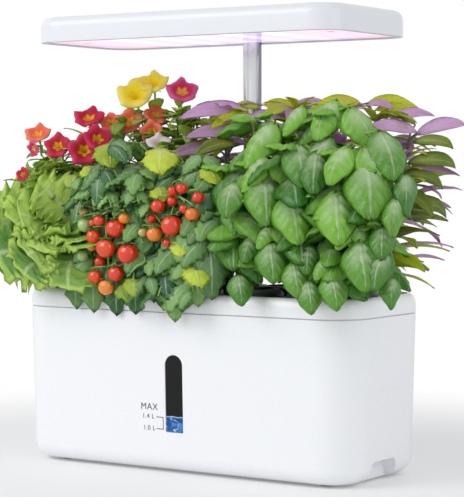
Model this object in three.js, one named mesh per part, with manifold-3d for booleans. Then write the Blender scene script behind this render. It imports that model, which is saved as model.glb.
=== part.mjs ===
// An indoor garden with a grow light. A moulded tub holds the water and a small pump. A planting deck
// closes it and carries ten slotted baskets, the fill flap and two buttons. A lamp stands over the plants
// on an oval pole, which slides down through the deck into a closed sleeve.
// Millimetres, +Z up, the front faces -Y, and the origin is on the floor under the middle of the tank.

import * as THREE from "three";
import { mergeVertices } from "three/addons/utils/BufferGeometryUtils.js";
import Module from "manifold-3d";

const wasm = await Module();
wasm.setup();

// Clearances that all pieces share
const fitGap = 0.3;
const overrun = 2;
const sinkIn = 0.4;

// Body, tank and deck together, seen from above
const bodyWidth = 320;
const bodyDepth = 130;
const cornerRadius = 33;

// Tank
const seamHeight = 128.5;
const wallLean = 3.3;
const tankWall = 2.6;
const tankFloor = 3;
const tankEdgeRound = 13;
const tankInnerRound = 9;

// Finger grips, cut up into both ends of the tank
const gripWidth = 50;
const gripTopWidth = 38;
const gripHeight = 16;
const gripDepth = 12;
const gripCornerRound = 5;
const gripOffsetY = -5;

// Rubber feet
const footHeight = 2;
const footSocket = 1;
const footRadius = 7;
const footInsetX = 35;
const footInsetY = 30;

// Level window
const windowWidth = 16;
const windowHeight = 61;
const windowRise = 34;
const windowThickness = 2;
const windowSetBack = 0.3;
const windowLedge = 2.8;
const windowBossMargin = 3.2;
const windowBossDepth = 3.6;
const gasketThickness = 0.9;

// Deck
const rimRise = 15.5;
const rimWidth = 6.4;
const rimRoundWidth = 5;
const rimRoundHeight = 9;
const shadowLineHeight = 0.8;
const shadowLineDepth = 1.2;
const deckRecess = 3;
const deckThickness = 2.5;
const lipDrop = 6;
const lipThickness = 2;
const lipClearance = 0.5;
const ribThickness = 1.8;
const ribDepth = 7;

// Pods, in two rows that fill the deck between its rim and the strip for the pole, flap and buttons
const podColumns = 5;
const podEndSpace = 11.1;
const collarRimGap = 0.6;
const collarGap = 2;
const controlStripDepth = 20.6;
const podPitchX = (bodyWidth - 2 * (rimWidth + podEndSpace)) / podColumns;
const rowsDepth = bodyDepth - 2 * rimWidth - controlStripDepth;
const collarRadius = (rowsDepth - collarRimGap - collarGap) / 4;
const podPitchY = 2 * collarRadius + collarGap;
const podOffsetY = rimWidth + collarRimGap + podPitchY - collarGap / 2 - bodyDepth / 2;
const controlStripFront = bodyDepth / 2 - rimWidth - controlStripDepth;

// Baskets, which hang in the deck by their collars
const collarSeat = 4.2;
const collarEdge = 2.2;
const collarRise = 7.5;
const collarRoundWidth = 6.9;
const collarMouthRadius = collarRadius - collarRoundWidth;
const podHoleRadius = collarRadius - collarSeat;
const basketClearance = 0.5;
const basketDepth = 40;
const basketTaper = 5.8;
const basketBottomRadius = podHoleRadius - basketTaper;
const basketWall = 1.6;
const basketSlotPairs = 3;
const basketSlotWidth = 5.4;
const basketSlotLength = 22;
const basketSlotDrop = 9;
const basketDrainWidth = 3.4;
const basketDrainInset = 5.5;

// Sponges
const spongeRise = 4.5;
const spongeFloorGap = 0.3;

// Pole
const poleWidth = 16.5;
const poleThickness = 10;
const poleWall = 1.3;
const poleGrooveWidth = 3;
const poleGrooveDepth = 0.7;
const poleSetBack = 12.5;
const poleOffsetY = controlStripFront + poleSetBack;
const poleEngagement = 34;

// Sleeve, collar and bush of the pole. The lamp's travel is the free length of the sleeve.
const sleeveClearance = 0.8;
const sleeveWall = 1.6;
const sleeveFloor = 2;
const sleeveFootSpace = 13;
const sleeveFlangeWidth = 1.2;
const sleeveFlangeThickness = 2;
const bushWall = 1.5;
const bushLength = 5.6;
const bushCollarWall = 2.4;
const bushCollarRise = 5;
const bushCollarRound = 1.2;

// Lamp
const lampUnderside = 346;
const lampInsetX = 13.5;
const lampInsetY = 2.5;
const lampWidth = bodyWidth - 2 * lampInsetX;
const lampDepth = bodyDepth - 2 * lampInsetY;
const lampHeight = 21;
const lampOffsetY = -1;
const lampCornerRadius = 25;
const lampTopRound = 8;
const lampWall = 2.2;
const lampFrameWidth = 4;
const lampFrameThickness = 3;
const lampFrameLedge = 1.2;
const panelSeat = 1.5;
const panelThickness = 2;
const poleNotchGap = 0.5;

// Light board
const boardRise = 8;
const boardThickness = 1.6;
const boardInset = 15.5;
const boardPoleSpace = 11.5;
const boardWidth = lampWidth - 2 * boardInset;
const boardDepth = 2 * (poleOffsetY - lampOffsetY - boardPoleSpace);
const emitterColumns = 7;
const emitterRows = 3;
const emitterEndSpace = 23;
const emitterSideSpace = 14;
const emitterPitchX = (boardWidth - 2 * emitterEndSpace) / (emitterColumns - 1);
const emitterPitchY = (boardDepth - 2 * emitterSideSpace) / (emitterRows - 1);
const emitterSize = 4;
const emitterHeight = 1.4;

// Clamp that holds the lamp on its pole
const clampWall = 1.8;
const clampRoof = 1.6;
const clampTop = 13;

// Panel screws
const screwInset = 28.5;
const screwOffsetY = -20;
const screwHeadRadius = 3;
const screwHeadHeight = 1;
const screwShankRadius = 1.4;
const screwBossRadius = 4;
const screwBossWall = 1.4;

// Fill flap
const fillWidth = 38;
const fillDepth = 12;
const fillCornerRadius = 3;
const fillOffsetX = (-3 / 2) * podPitchX;
const fillSetBack = 9;
const fillOffsetY = controlStripFront + fillSetBack;
const flapOverlap = 3;
const flapThickness = 2;
const flapBarrelRadius = 1.8;
const flapPinRadius = 1;
const flapPinLength = 2.4;
const flapLugWidth = 2.4;
const flapLugWall = 1.3;
const flapHingeSetBack = 3.2;

// Buttons
const buttonRadius = 5.5;
const buttonPitch = 22;
const buttonOffsetX = 65;
const buttonSetBack = 12;
const buttonOffsetY = controlStripFront + buttonSetBack;
const buttonProud = 1.2;
const buttonFlange = 1.5;
const buttonFlangeThickness = 1.2;
const buttonTravel = 0.8;
const buttonRestGap = 0.1;
const buttonEdgeRound = 0.8;

// Pocket, board, cover and inlet of the controls
const pocketWidth = 64;
const pocketOffsetX = 72;
const pocketSetBack = 3;
const pocketFront = controlStripFront + pocketSetBack;
const pocketWall = 1.8;
const pocketDrop = 14;
const controlBoardWidth = 58;
const controlBoardDepth = 14;
const controlBoardThickness = 1.6;
const controlPostHeight = 3.6;
const controlPostRadius = 2;
const switchSize = 6;
const pocketCoverThickness = 1.6;
const inletOffsetX = 94;
const inletRadius = 4.1;
const inletBoreRadius = 2.9;
const inletBoreDepth = 8;
const inletPinRadius = 0.9;
const inletPinSetBack = 1.5;
const inletBlockWidth = 11;
const inletBlockDepth = 7;
const inletSetBack = 0.4;

// Pump, between the rows of pods
const pumpOffsetX = (3 / 2) * podPitchX;
const pumpOffsetY = podOffsetY;
const pumpWidth = 34;
const pumpDepth = 26;
const pumpHeight = 28;
const pumpCornerRadius = 5;
const pumpPadThickness = 2;
const pumpPadMargin = 3;
const pumpChamberRadius = 9.5;
const pumpChamberDepth = 20;
const pumpBearingRadius = 2.6;
const pumpBearingDepth = 3;
const pumpNozzleRadius = 4.2;
const pumpNozzleBore = 2.6;
const pumpNozzleHeight = 7;
const pumpCoverThickness = 3;
const pumpSlotCount = 5;
const pumpSlotWidth = 2;
const pumpSlotPitch = 5;
const pumpSlotLength = 15;
const rotorShaftRadius = 1.3;
const rotorMagnetRadius = 6;
const rotorMagnetLength = 10;
const rotorBladeCount = 6;
const rotorBladeLength = 8;
const rotorBladeThickness = 1.2;
const rotorBladeDepth = 5;
const tubeWall = 1.4;
const tubeTop = 98;

// Plants, one to a pod, and how far they reach past the body
const foliageSpreadX = 40;
const foliageSpreadY = 21;
const foliageReachX = bodyWidth / 2 + foliageSpreadX;
const foliageReachY = bodyDepth / 2 + foliageSpreadY;
const foliageTop = 300;
const bloomTop = 325;
const collarLeafGap = 2.5;
const spillHeight = 230;
const stemRadius = 2;
const stemTurn = 1;
const stalkRadius = 1.2;
const leafThickness = 2.4;
const poleLeafGap = 2;
const trussReach = 16;
const trussRise = Math.PI / 8;
const fruitsPerTruss = 5;
const fruitRadius = 6.5;
const fruitPitch = 8;
const flowerStalk = 18;
const flowerTilt = Math.PI / 5;
const flowerRadius = 12;
const flowerDepth = 9;
const flowerSides = 5;
const flowerSpreadShare = 0.5;

// Leaves of each kind: how many to a stem, their size, their tilt in radians from the foot of the stem
// to its tip, the share of the stem that is bare, and how much smaller the youngest is
const leafForms = {
  lettuce: { count: 8, length: 92, width: 58, lowTilt: 0.4, highTilt: 1.2, bareShare: 0.3, taperShare: 0.2 },
  tomato: { count: 7, length: 60, width: 36, lowTilt: -1.1, highTilt: -0.4, bareShare: 0.3, taperShare: 0.4 },
  basil: { count: 9, length: 68, width: 46, lowTilt: -1.1, highTilt: -0.5, bareShare: 0.3, taperShare: 0.4 },
  blossom: { count: 5, length: 58, width: 30, lowTilt: -0.9, highTilt: 0.9, bareShare: 0.3, taperShare: 0.3 },
  purple: { count: 8, length: 78, width: 34, lowTilt: -1, highTilt: 0.9, bareShare: 0.3, taperShare: 0.3 },
};

// The plants in order of their pods, front row first. The shares of a stem give its tip, as shares of
// the way to its room's sides and of the room's height. Those of a truss give its place on the stem, and
// its heading as a share of a full turn.
const plantForms = [
  { leaf: "lettuce", stemShares: [[-0.62, -0.25, 0.4]] },
  {
    leaf: "tomato",
    stemShares: [[-0.2, -0.1, 0.94], [0.5, -0.6, 0.6]],
    trussShares: [[0.6, -0.33], [0.9, -0.2]],
  },
  { leaf: "tomato", stemShares: [[0.1, -0.1, 0.65], [0.5, -0.5, 0.45]], trussShares: [[0.9, -0.3]] },
  { leaf: "basil", stemShares: [[-0.1, -0.15, 0.98], [0.5, -0.6, 0.6], [-0.6, -0.4, 0.75]] },
  { leaf: "basil", stemShares: [[0.2, -0.2, 0.93], [0.4, -0.6, 0.5], [-0.6, -0.4, 0.8]] },
  { leaf: "blossom", stemShares: [[-0.6, -0.3, 0.68], [-0.1, -0.1, 0.8]], flowersPerStem: 3 },
  { leaf: "blossom", stemShares: [[-0.3, 0, 0.92], [0.3, 0.4, 0.78]], flowersPerStem: 2 },
  { leaf: "purple", stemShares: [[0, 0.2, 0.95], [-0.4, -0.5, 0.75]] },
  { leaf: "purple", stemShares: [[0, 0.3, 0.98], [0.5, -0.5, 0.8]] },
  { leaf: "purple", stemShares: [[0.5, 0.3, 0.88], [-0.3, -0.5, 0.9]] },
];

// Facet counts
const cornerSteps = 5;
const ovalSteps = 3;
const filletSteps = 3;
const collarSteps = 2;
const holeSteps = 16;
const basketSteps = 12;
const spongeSteps = 8;
const smallSteps = 10;
const stemSteps = 3;

const quarterTurn = Math.PI / 2;
const halfTurn = Math.PI;
const goldenTurn = halfTurn * (3 - Math.sqrt(5));

// Heights and places that several pieces share
const underside = footHeight;
const tankFloorTop = underside + tankFloor;
const rimTop = seamHeight + rimRise;
const deckTop = rimTop - deckRecess;
const deckUnderside = deckTop - deckThickness;
const foliageBase = deckTop + collarRise + collarLeafGap;
const lampTop = lampUnderside + lampHeight;
const poleBottom = deckTop - poleEngagement;
const sleeveBottom = tankFloorTop + sleeveFootSpace;

const finishes = {
  white: new THREE.MeshStandardMaterial({ color: 0xf1f2f5, roughness: 0.35 }),
  lampWhite: new THREE.MeshStandardMaterial({ color: 0xe8eaee, roughness: 0.35 }),
  charcoal: new THREE.MeshStandardMaterial({ color: 0x2e2e2c, roughness: 0.2 }),
  basket: new THREE.MeshStandardMaterial({ color: 0x3c3d42, roughness: 0.5 }),
  rubber: new THREE.MeshStandardMaterial({ color: 0x4a4b4e, roughness: 0.9 }),
  metal: new THREE.MeshStandardMaterial({ color: 0xc9cacd, roughness: 0.2, metalness: 1 }),
  panel: new THREE.MeshStandardMaterial({ color: 0xf4e6f6, roughness: 0.1 }),
  board: new THREE.MeshStandardMaterial({ color: 0xf6f6f2, roughness: 0.5 }),
  sponge: new THREE.MeshStandardMaterial({ color: 0x4a3a2c, roughness: 1 }),
  grey: new THREE.MeshStandardMaterial({ color: 0xb9bbc0, roughness: 0.4 }),
  lettuce: new THREE.MeshStandardMaterial({ color: 0xa3c552, roughness: 0.6 }),
  tomato: new THREE.MeshStandardMaterial({ color: 0x5c7f33, roughness: 0.6 }),
  basil: new THREE.MeshStandardMaterial({ color: 0x69a544, roughness: 0.4 }),
  blossom: new THREE.MeshStandardMaterial({ color: 0xc8384e, roughness: 0.6 }),
  purple: new THREE.MeshStandardMaterial({ color: 0x9c8fa0, roughness: 0.6 }),
};

// Shapes

function ringPoints({ halfX, halfY, radius, z, x = 0, y = 0, steps = cornerSteps }) {
  const points = [];
  for (let corner = 0; corner < 4; corner += 1) {
    const centreX = x + (corner === 0 || corner === 3 ? 1 : -1) * (halfX - radius);
    const centreY = y + (corner < 2 ? 1 : -1) * (halfY - radius);
    for (let step = 0; step <= steps; step += 1) {
      const angle = (corner + step / steps) * quarterTurn;
      points.push([centreX + radius * Math.cos(angle), centreY + radius * Math.sin(angle), z]);
    }
  }
  return points;
}

// A closed body through rounded rectangles, from the lowest level to the highest
function loft(levels) {
  const rings = levels.map(ringPoints);
  const count = rings[0].length;
  const last = (rings.length - 1) * count;
  const index = [];
  for (let base = 0; base < last; base += count) {
    for (let k = 0; k < count; k += 1) {
      const next = (k + 1) % count;
      index.push(base + k, base + next, base + count + next);
      index.push(base + k, base + count + next, base + count + k);
    }
  }
  for (let k = 1; k + 1 < count; k += 1) {
    index.push(0, k + 1, k);
    index.push(last, last + k, last + k + 1);
  }
  const geometry = new THREE.BufferGeometry();
  geometry.setAttribute("position", new THREE.Float32BufferAttribute(rings.flat(2), 3));
  geometry.setIndex(index);
  return geometry;
}

const slab = ({ bottom, top, ...outline }) => loft([{ ...outline, z: bottom }, { ...outline, z: top }]);

// The pole's section, grown all round, at one height
const ovalLevel = (z, grow) => ({
  halfX: poleWidth / 2 + grow,
  halfY: poleThickness / 2 + grow,
  radius: poleThickness / 2 + grow,
  y: poleOffsetY,
  steps: ovalSteps,
  z,
});

const oval = (bottom, top, grow = 0) => loft([ovalLevel(bottom, grow), ovalLevel(top, grow)]);

function block(lowX, highX, lowY, highY, lowZ, highZ) {
  const geometry = new THREE.BoxGeometry(highX - lowX, highY - lowY, highZ - lowZ);
  return geometry.translate((lowX + highX) / 2, (lowY + highY) / 2, (lowZ + highZ) / 2);
}

// A body turned about Z from its half section, which runs up the outside and down the inside
function turned(profile, steps) {
  const points = profile.map(([radius, z]) => new THREE.Vector2(radius, z));
  return new THREE.LatheGeometry(points, steps).rotateX(quarterTurn);
}

function rod(radius, bottom, top, x = 0, y = 0, steps = holeSteps) {
  return turned([[0, bottom], [radius, bottom], [radius, top], [0, top]], steps).translate(x, y, 0);
}

// A rod along +Y
function rodAlongY(radius, start, end, x, z, steps = holeSteps) {
  return rod(radius, -end, -start, 0, 0, steps).rotateX(quarterTurn).translate(x, 0, z);
}

// A rod along +X
function rodAlongX(radius, start, end, y, z, steps = smallSteps) {
  return rod(radius, start, end, 0, 0, steps).rotateY(quarterTurn).translate(0, y, z);
}

// A rod from one point to another
function strut(from, to, radius) {
  const start = new THREE.Vector3(...from);
  const along = new THREE.Vector3(...to).sub(start);
  const upright = new THREE.Vector3(0, 0, 1);
  const turn = new THREE.Quaternion().setFromUnitVectors(upright, along.clone().normalize());
  const bar = rod(radius, 0, along.length(), 0, 0, stemSteps).applyQuaternion(turn);
  return bar.translate(start.x, start.y, start.z);
}

// Solids

const mergeDistance = 1e-4;

function solid(shape) {
  if (shape instanceof wasm.Manifold) return shape;
  const bare = shape.clone();
  bare.deleteAttribute("normal");
  bare.deleteAttribute("uv");
  const merged = mergeVertices(bare, mergeDistance);
  const corners = merged.index.array;
  const triangles = [];
  for (let k = 0; k < corners.length; k += 3) {
    const [a, b, c] = [corners[k], corners[k + 1], corners[k + 2]];
    if (a !== b && b !== c && c !== a) triangles.push(a, b, c);
  }
  const vertProperties = new Float32Array(merged.attributes.position.array);
  const triVerts = new Uint32Array(triangles);
  return new wasm.Manifold(new wasm.Mesh({ numProp: 3, vertProperties, triVerts }));
}

const join = (...shapes) => shapes.map(solid).reduce((sum, next) => sum.add(next));
const cut = (body, ...tools) => tools.map(solid).reduce((rest, next) => rest.subtract(next), solid(body));
const common = (a, b) => solid(a).intersect(solid(b));

function geometryOf(body) {
  const { vertProperties, triVerts, numProp } = body.getMesh();
  const positions = [];
  for (let k = 0; k < vertProperties.length; k += numProp) {
    positions.push(vertProperties[k], vertProperties[k + 1], vertProperties[k + 2]);
  }
  const geometry = new THREE.BufferGeometry();
  geometry.setAttribute("position", new THREE.Float32BufferAttribute(positions, 3));
  geometry.setIndex([...triVerts]);
  const flat = geometry.toNonIndexed();
  flat.computeVertexNormals();
  return flat;
}

function piece(name, shape, finish) {
  const mesh = new THREE.Mesh(geometryOf(solid(shape)), finishes[finish]);
  mesh.name = name;
  return mesh;
}

const garden = new THREE.Group();
garden.name = "indoor_garden";

// Tank

const leanAt = (z) => (wallLean * (seamHeight - z)) / (seamHeight - underside);

const bodyLevel = (z, inset) => ({
  halfX: bodyWidth / 2 - inset,
  halfY: bodyDepth / 2 - inset,
  radius: cornerRadius - inset,
  z,
});

function tub(bottom, top, inset, round) {
  const levels = [];
  for (let step = 0; step <= filletSteps; step += 1) {
    const angle = (step / filletSteps) * quarterTurn;
    const z = bottom + round * (1 - Math.cos(angle));
    levels.push(bodyLevel(z, inset + leanAt(z) + round * (1 - Math.sin(angle))));
  }
  levels.push(bodyLevel(top, inset + leanAt(top)));
  return loft(levels);
}

// A grip's space, in the end wall at +X or -X, grown all round for the wall behind it
function gripSpace(side, grow) {
  const half = gripWidth / 2 + grow;
  const halfTop = gripTopWidth / 2 + grow;
  const height = gripHeight + grow;
  const round = gripCornerRound;
  const slope = (half - halfTop) / height;
  const outline = new THREE.Shape();
  outline.moveTo(-half - slope * overrun, -overrun);
  outline.lineTo(half + slope * overrun, -overrun);
  outline.lineTo(halfTop + slope * round, height - round);
  outline.quadraticCurveTo(halfTop, height, halfTop - round, height);
  outline.lineTo(round - halfTop, height);
  outline.quadraticCurveTo(-halfTop, height, -halfTop - slope * round, height - round);
  const inner = bodyWidth / 2 - wallLean - gripDepth - grow;
  const depth = bodyWidth / 2 + overrun - inner;
  const options = { depth, bevelEnabled: false, curveSegments: filletSteps };
  const geometry = new THREE.ExtrudeGeometry(outline, options);
  const alongX = new THREE.Matrix4().makeBasis(
    new THREE.Vector3(0, 1, 0),
    new THREE.Vector3(0, 0, 1),
    new THREE.Vector3(1, 0, 0),
  );
  geometry.applyMatrix4(alongX);
  geometry.translate(side > 0 ? inner : -inner - depth, gripOffsetY, underside);
  return geometry;
}

// The level window's place: X to the right, Y up along the leaning wall, Z out of it
function windowPlace() {
  const lean = Math.atan(wallLean / (seamHeight - underside));
  const place = new THREE.Matrix4().makeBasis(
    new THREE.Vector3(1, 0, 0),
    new THREE.Vector3(0, -Math.sin(lean), Math.cos(lean)),
    new THREE.Vector3(0, -Math.cos(lean), -Math.sin(lean)),
  );
  return place.setPosition(0, leanAt(windowRise) - bodyDepth / 2, windowRise);
}

// The window's outline, with a flat foot and a round head, pushed out or in by grow
function windowForm(grow, from, to) {
  const half = windowWidth / 2 + grow;
  const outline = new THREE.Shape();
  outline.moveTo(-half, -grow);
  outline.lineTo(half, -grow);
  outline.lineTo(half, windowHeight - windowWidth / 2);
  outline.absarc(0, windowHeight - windowWidth / 2, half, 0, halfTurn, false);
  const options = { depth: to - from, bevelEnabled: false, curveSegments: smallSteps };
  const geometry = new THREE.ExtrudeGeometry(outline, options).translate(0, 0, from);
  return geometry.applyMatrix4(windowPlace());
}

const footX = bodyWidth / 2 - footInsetX;
const footY = bodyDepth / 2 - footInsetY;
const footPlaces = [
  ["foot_front_left", -footX, -footY],
  ["foot_front_right", footX, -footY],
  ["foot_rear_left", -footX, footY],
  ["foot_rear_right", footX, footY],
];

function tankShell() {
  const outside = solid(tub(underside, seamHeight, 0, tankEdgeRound));
  const inside = tub(tankFloorTop, seamHeight + overrun, tankWall, tankInnerRound);
  const recess = windowThickness + windowSetBack + gasketThickness + fitGap;
  let shell = cut(outside, inside);
  for (const side of [-1, 1]) shell = join(shell, common(gripSpace(side, tankWall), outside));
  for (const side of [-1, 1]) shell = cut(shell, gripSpace(side, 0));
  shell = join(shell, windowForm(windowBossMargin, -tankWall - windowBossDepth, -tankWall / 2));
  shell = cut(
    shell,
    windowForm(fitGap, -recess, overrun),
    windowForm(-windowLedge, -tankWall - windowBossDepth - overrun, overrun),
  );
  const sockets = footPlaces.map(([, x, y]) =>
    rod(footRadius + fitGap, underside - overrun, underside + footSocket, x, y, smallSteps),
  );
  return cut(shell, ...sockets);
}

function windowGasket() {
  const back = -windowThickness - windowSetBack - gasketThickness;
  const ring = windowForm(0, back, back + gasketThickness - fitGap);
  return cut(ring, windowForm(-windowLedge, back - overrun, overrun));
}

garden.add(piece("tank_shell", tankShell(), "white"));
garden.add(
  piece(
    "level_window",
    windowForm(0, -windowThickness - windowSetBack, -windowSetBack),
    "charcoal",
  ),
);
garden.add(piece("window_gasket", windowGasket(), "rubber"));

for (const [name, x, y] of footPlaces) {
  const foot = piece(name, rod(footRadius, 0, footHeight + footSocket, 0, 0, smallSteps), "rubber");
  foot.position.set(x, y, 0);
  garden.add(foot);
}

// Pump, which stands on the tank floor with its intake to the front

const pumpFront = -pumpDepth / 2;
const pumpAxisHeight = pumpHeight / 2;
const pumpOutline = {
  halfX: pumpWidth / 2,
  halfY: pumpDepth / 2,
  radius: pumpCornerRadius,
};
const chamberEnd = pumpFront + pumpChamberDepth;
const coverBack = pumpFront - fitGap;
const coverFront = coverBack - pumpCoverThickness;

function pumpBody() {
  const block = slab({ ...pumpOutline, bottom: 0, top: pumpHeight });
  const nozzle = rod(pumpNozzleRadius, pumpHeight - sinkIn, pumpHeight + pumpNozzleHeight);
  const bearingEnd = chamberEnd + pumpBearingDepth;
  return cut(
    join(block, nozzle),
    rodAlongY(pumpChamberRadius, pumpFront - overrun, chamberEnd, 0, pumpAxisHeight),
    rodAlongY(rotorShaftRadius + fitGap, chamberEnd - overrun, bearingEnd, 0, pumpAxisHeight, smallSteps),
    rod(pumpNozzleBore, pumpAxisHeight, pumpHeight + pumpNozzleHeight + overrun, 0, 0, smallSteps),
  );
}

function pumpRotor() {
  const front = coverBack - pumpCoverThickness / 2;
  const back = chamberEnd + pumpBearingDepth - fitGap;
  const magnetBack = chamberEnd - fitGap;
  const magnetFront = magnetBack - rotorMagnetLength;
  const blades = [];
  for (let k = 0; k < rotorBladeCount; k += 1) {
    const blade = block(
      0,
      rotorBladeLength,
      magnetFront - rotorBladeDepth,
      magnetFront + sinkIn,
      -rotorBladeThickness / 2,
      rotorBladeThickness / 2,
    );
    blades.push(blade.rotateY((k * 2 * halfTurn) / rotorBladeCount).translate(0, 0, pumpAxisHeight));
  }
  return join(
    rodAlongY(rotorShaftRadius, front, back, 0, pumpAxisHeight, smallSteps),
    rodAlongY(rotorMagnetRadius, magnetFront, magnetBack, 0, pumpAxisHeight, smallSteps),
    ...blades,
  );
}

function pumpCover() {
  const half = pumpWidth / 2 - pumpCornerRadius / 2;
  const plate = block(-half, half, coverFront, coverBack, 0, pumpHeight);
  const slots = [];
  for (let k = 0; k < pumpSlotCount; k += 1) {
    const x = (k - (pumpSlotCount - 1) / 2) * pumpSlotPitch;
    slots.push(
      block(
        x - pumpSlotWidth / 2,
        x + pumpSlotWidth / 2,
        coverFront - overrun,
        coverBack + overrun,
        pumpAxisHeight - pumpSlotLength / 2,
        pumpAxisHeight + pumpSlotLength / 2,
      ),
    );
  }
  const hub = rodAlongY(pumpBearingRadius, coverFront, coverBack, 0, pumpAxisHeight, smallSteps);
  const bearing = rodAlongY(
    rotorShaftRadius + fitGap,
    coverBack - pumpCoverThickness / 2 - fitGap,
    coverBack + overrun,
    0,
    pumpAxisHeight,
    smallSteps,
  );
  return cut(join(cut(plate, ...slots), hub), bearing);
}

function outletTube() {
  const bore = pumpNozzleRadius + fitGap;
  const outer = bore + tubeWall;
  const top = tubeTop - tankFloorTop - pumpPadThickness;
  const profile = [[bore, pumpHeight], [outer, pumpHeight], [outer, top], [bore, top], [bore, pumpHeight]];
  return turned(profile, smallSteps);
}

const pump = new THREE.Group();
pump.position.set(pumpOffsetX, pumpOffsetY, tankFloorTop);
const pumpOnPad = new THREE.Group();
pumpOnPad.position.z = pumpPadThickness;
const padOutline = {
  halfX: pumpWidth / 2 + pumpPadMargin,
  halfY: pumpDepth / 2 + pumpPadMargin,
  radius: pumpCornerRadius + pumpPadMargin,
};
pump.add(piece("pump_pad", slab({ ...padOutline, bottom: 0, top: pumpPadThickness }), "rubber"));
pumpOnPad.add(piece("pump_body", pumpBody(), "basket"));
pumpOnPad.add(piece("pump_rotor", pumpRotor(), "grey"));
pumpOnPad.add(piece("pump_cover", pumpCover(), "basket"));
pumpOnPad.add(piece("outlet_tube", outletTube(), "grey"));
pump.add(pumpOnPad);
garden.add(pump);

// Deck

const podPlaces = [];
for (let row = 0; row < 2; row += 1) {
  for (let column = 0; column < podColumns; column += 1) {
    podPlaces.push({
      row,
      column,
      x: (column - (podColumns - 1) / 2) * podPitchX,
      y: podOffsetY + (row - 1 / 2) * podPitchY,
    });
  }
}

const lipInset = (z) => tankWall + leanAt(z) + lipClearance;
const hollowInset = lipInset(seamHeight - lipDrop) + lipThickness;
const deckBack = bodyDepth / 2 - hollowInset;
const pocketBottom = deckUnderside - pocketDrop;
const controlBoardBottom = pocketBottom + controlPostHeight;
const controlBoardTop = controlBoardBottom + controlBoardThickness;
const inletHeight = controlBoardTop + inletRadius;
const buttonBottom = deckUnderside - fitGap - buttonFlangeThickness;
const buttonPlaces = [
  ["button_light", buttonOffsetX - buttonPitch / 2],
  ["button_pump", buttonOffsetX + buttonPitch / 2],
];
const flapHingeY = fillOffsetY + fillDepth / 2 + flapHingeSetBack;
const flapHingeZ = deckTop + fitGap + flapBarrelRadius;
const flapHalf = fillWidth / 2 + flapOverlap;
const fillOutline = {
  halfX: fillWidth / 2,
  halfY: fillDepth / 2,
  radius: fillCornerRadius,
  x: fillOffsetX,
  y: fillOffsetY,
};

function rimForm() {
  const levels = [
    bodyLevel(seamHeight, shadowLineDepth),
    bodyLevel(seamHeight + shadowLineHeight, shadowLineDepth),
    bodyLevel(seamHeight + shadowLineHeight, 0),
  ];
  for (let step = 0; step <= filletSteps; step += 1) {
    const angle = (step / filletSteps) * quarterTurn;
    const z = rimTop - rimRoundHeight * (1 - Math.sin(angle));
    levels.push(bodyLevel(z, rimRoundWidth * (1 - Math.cos(angle))));
  }
  return loft(levels);
}

// The space under the deck, between its walls, less a gap all round
const deckHollow = (bottom, top, gap) =>
  loft([bodyLevel(bottom, hollowInset + gap), bodyLevel(top, hollowInset + gap)]);

// The space over the deck, inside its rim, less a gap all round
const deckBed = (bottom, top, gap) =>
  loft([bodyLevel(bottom, rimWidth + gap), bodyLevel(top, rimWidth + gap)]);

function flapLug(side) {
  const inner = flapHalf + fitGap;
  const low = fillOffsetX + (side > 0 ? inner : -inner - flapLugWidth);
  const high = low + flapLugWidth;
  const half = flapPinRadius + fitGap + flapLugWall;
  const cheek = block(low, high, flapHingeY - half, flapHingeY + half, deckTop - sinkIn, flapHingeZ);
  return join(cheek, rodAlongX(half, low, high, flapHingeY, flapHingeZ));
}

function deckShell() {
  const lipBottom = seamHeight - lipDrop;
  const lip = loft([
    bodyLevel(lipBottom, lipInset(lipBottom)),
    bodyLevel(seamHeight + sinkIn, lipInset(seamHeight)),
  ]);
  const hollow = deckHollow(lipBottom - overrun, deckUnderside, 0);
  const bed = deckBed(deckTop, rimTop + overrun, 0);
  const pocketHigh = { x: pocketOffsetX + pocketWidth / 2, y: deckBack + sinkIn };
  const pocketLow = { x: pocketOffsetX - pocketWidth / 2, y: pocketFront };
  const pocket = block(
    pocketLow.x,
    pocketHigh.x,
    pocketLow.y,
    pocketHigh.y,
    pocketBottom,
    deckUnderside + sinkIn,
  );
  const pocketSpace = block(
    pocketLow.x + pocketWall,
    pocketHigh.x - pocketWall,
    pocketLow.y + pocketWall,
    deckBack,
    pocketBottom - overrun,
    deckUnderside,
  );
  const ribs = [];
  for (let k = 1; k < podColumns; k += 1) {
    const x = (k - podColumns / 2) * podPitchX;
    ribs.push(
      block(
        x - ribThickness / 2,
        x + ribThickness / 2,
        -deckBack - sinkIn,
        podOffsetY + podPitchY / 2 + podHoleRadius,
        deckUnderside - ribDepth,
        deckUnderside + sinkIn,
      ),
    );
  }
  const shell = join(cut(join(rimForm(), lip), hollow, bed), ...ribs, pocket, flapLug(-1), flapLug(1));
  const inletHole = rodAlongY(
    inletRadius + fitGap,
    deckBack - overrun,
    bodyDepth / 2 + overrun,
    inletOffsetX,
    inletHeight,
  );
  const pinBore = rodAlongX(
    flapPinRadius + fitGap,
    fillOffsetX - flapHalf - flapLugWidth - overrun,
    fillOffsetX + flapHalf + flapLugWidth + overrun,
    flapHingeY,
    flapHingeZ,
  );
  return cut(
    shell,
    pocketSpace,
    inletHole,
    pinBore,
    slab({ ...fillOutline, bottom: deckUnderside - overrun, top: deckTop + overrun }),
    oval(deckUnderside - overrun, deckTop + overrun, bushWall + 2 * fitGap),
    ...podPlaces.map(({ x, y }) =>
      rod(podHoleRadius, deckUnderside - overrun, deckTop + overrun, x, y),
    ),
    ...buttonPlaces.map(([, x]) =>
      rod(buttonRadius + fitGap, deckUnderside - overrun, deckTop + overrun, x, buttonOffsetY),
    ),
  );
}

garden.add(piece("deck", deckShell(), "white"));

// Sleeve, collar and bush of the pole

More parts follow.
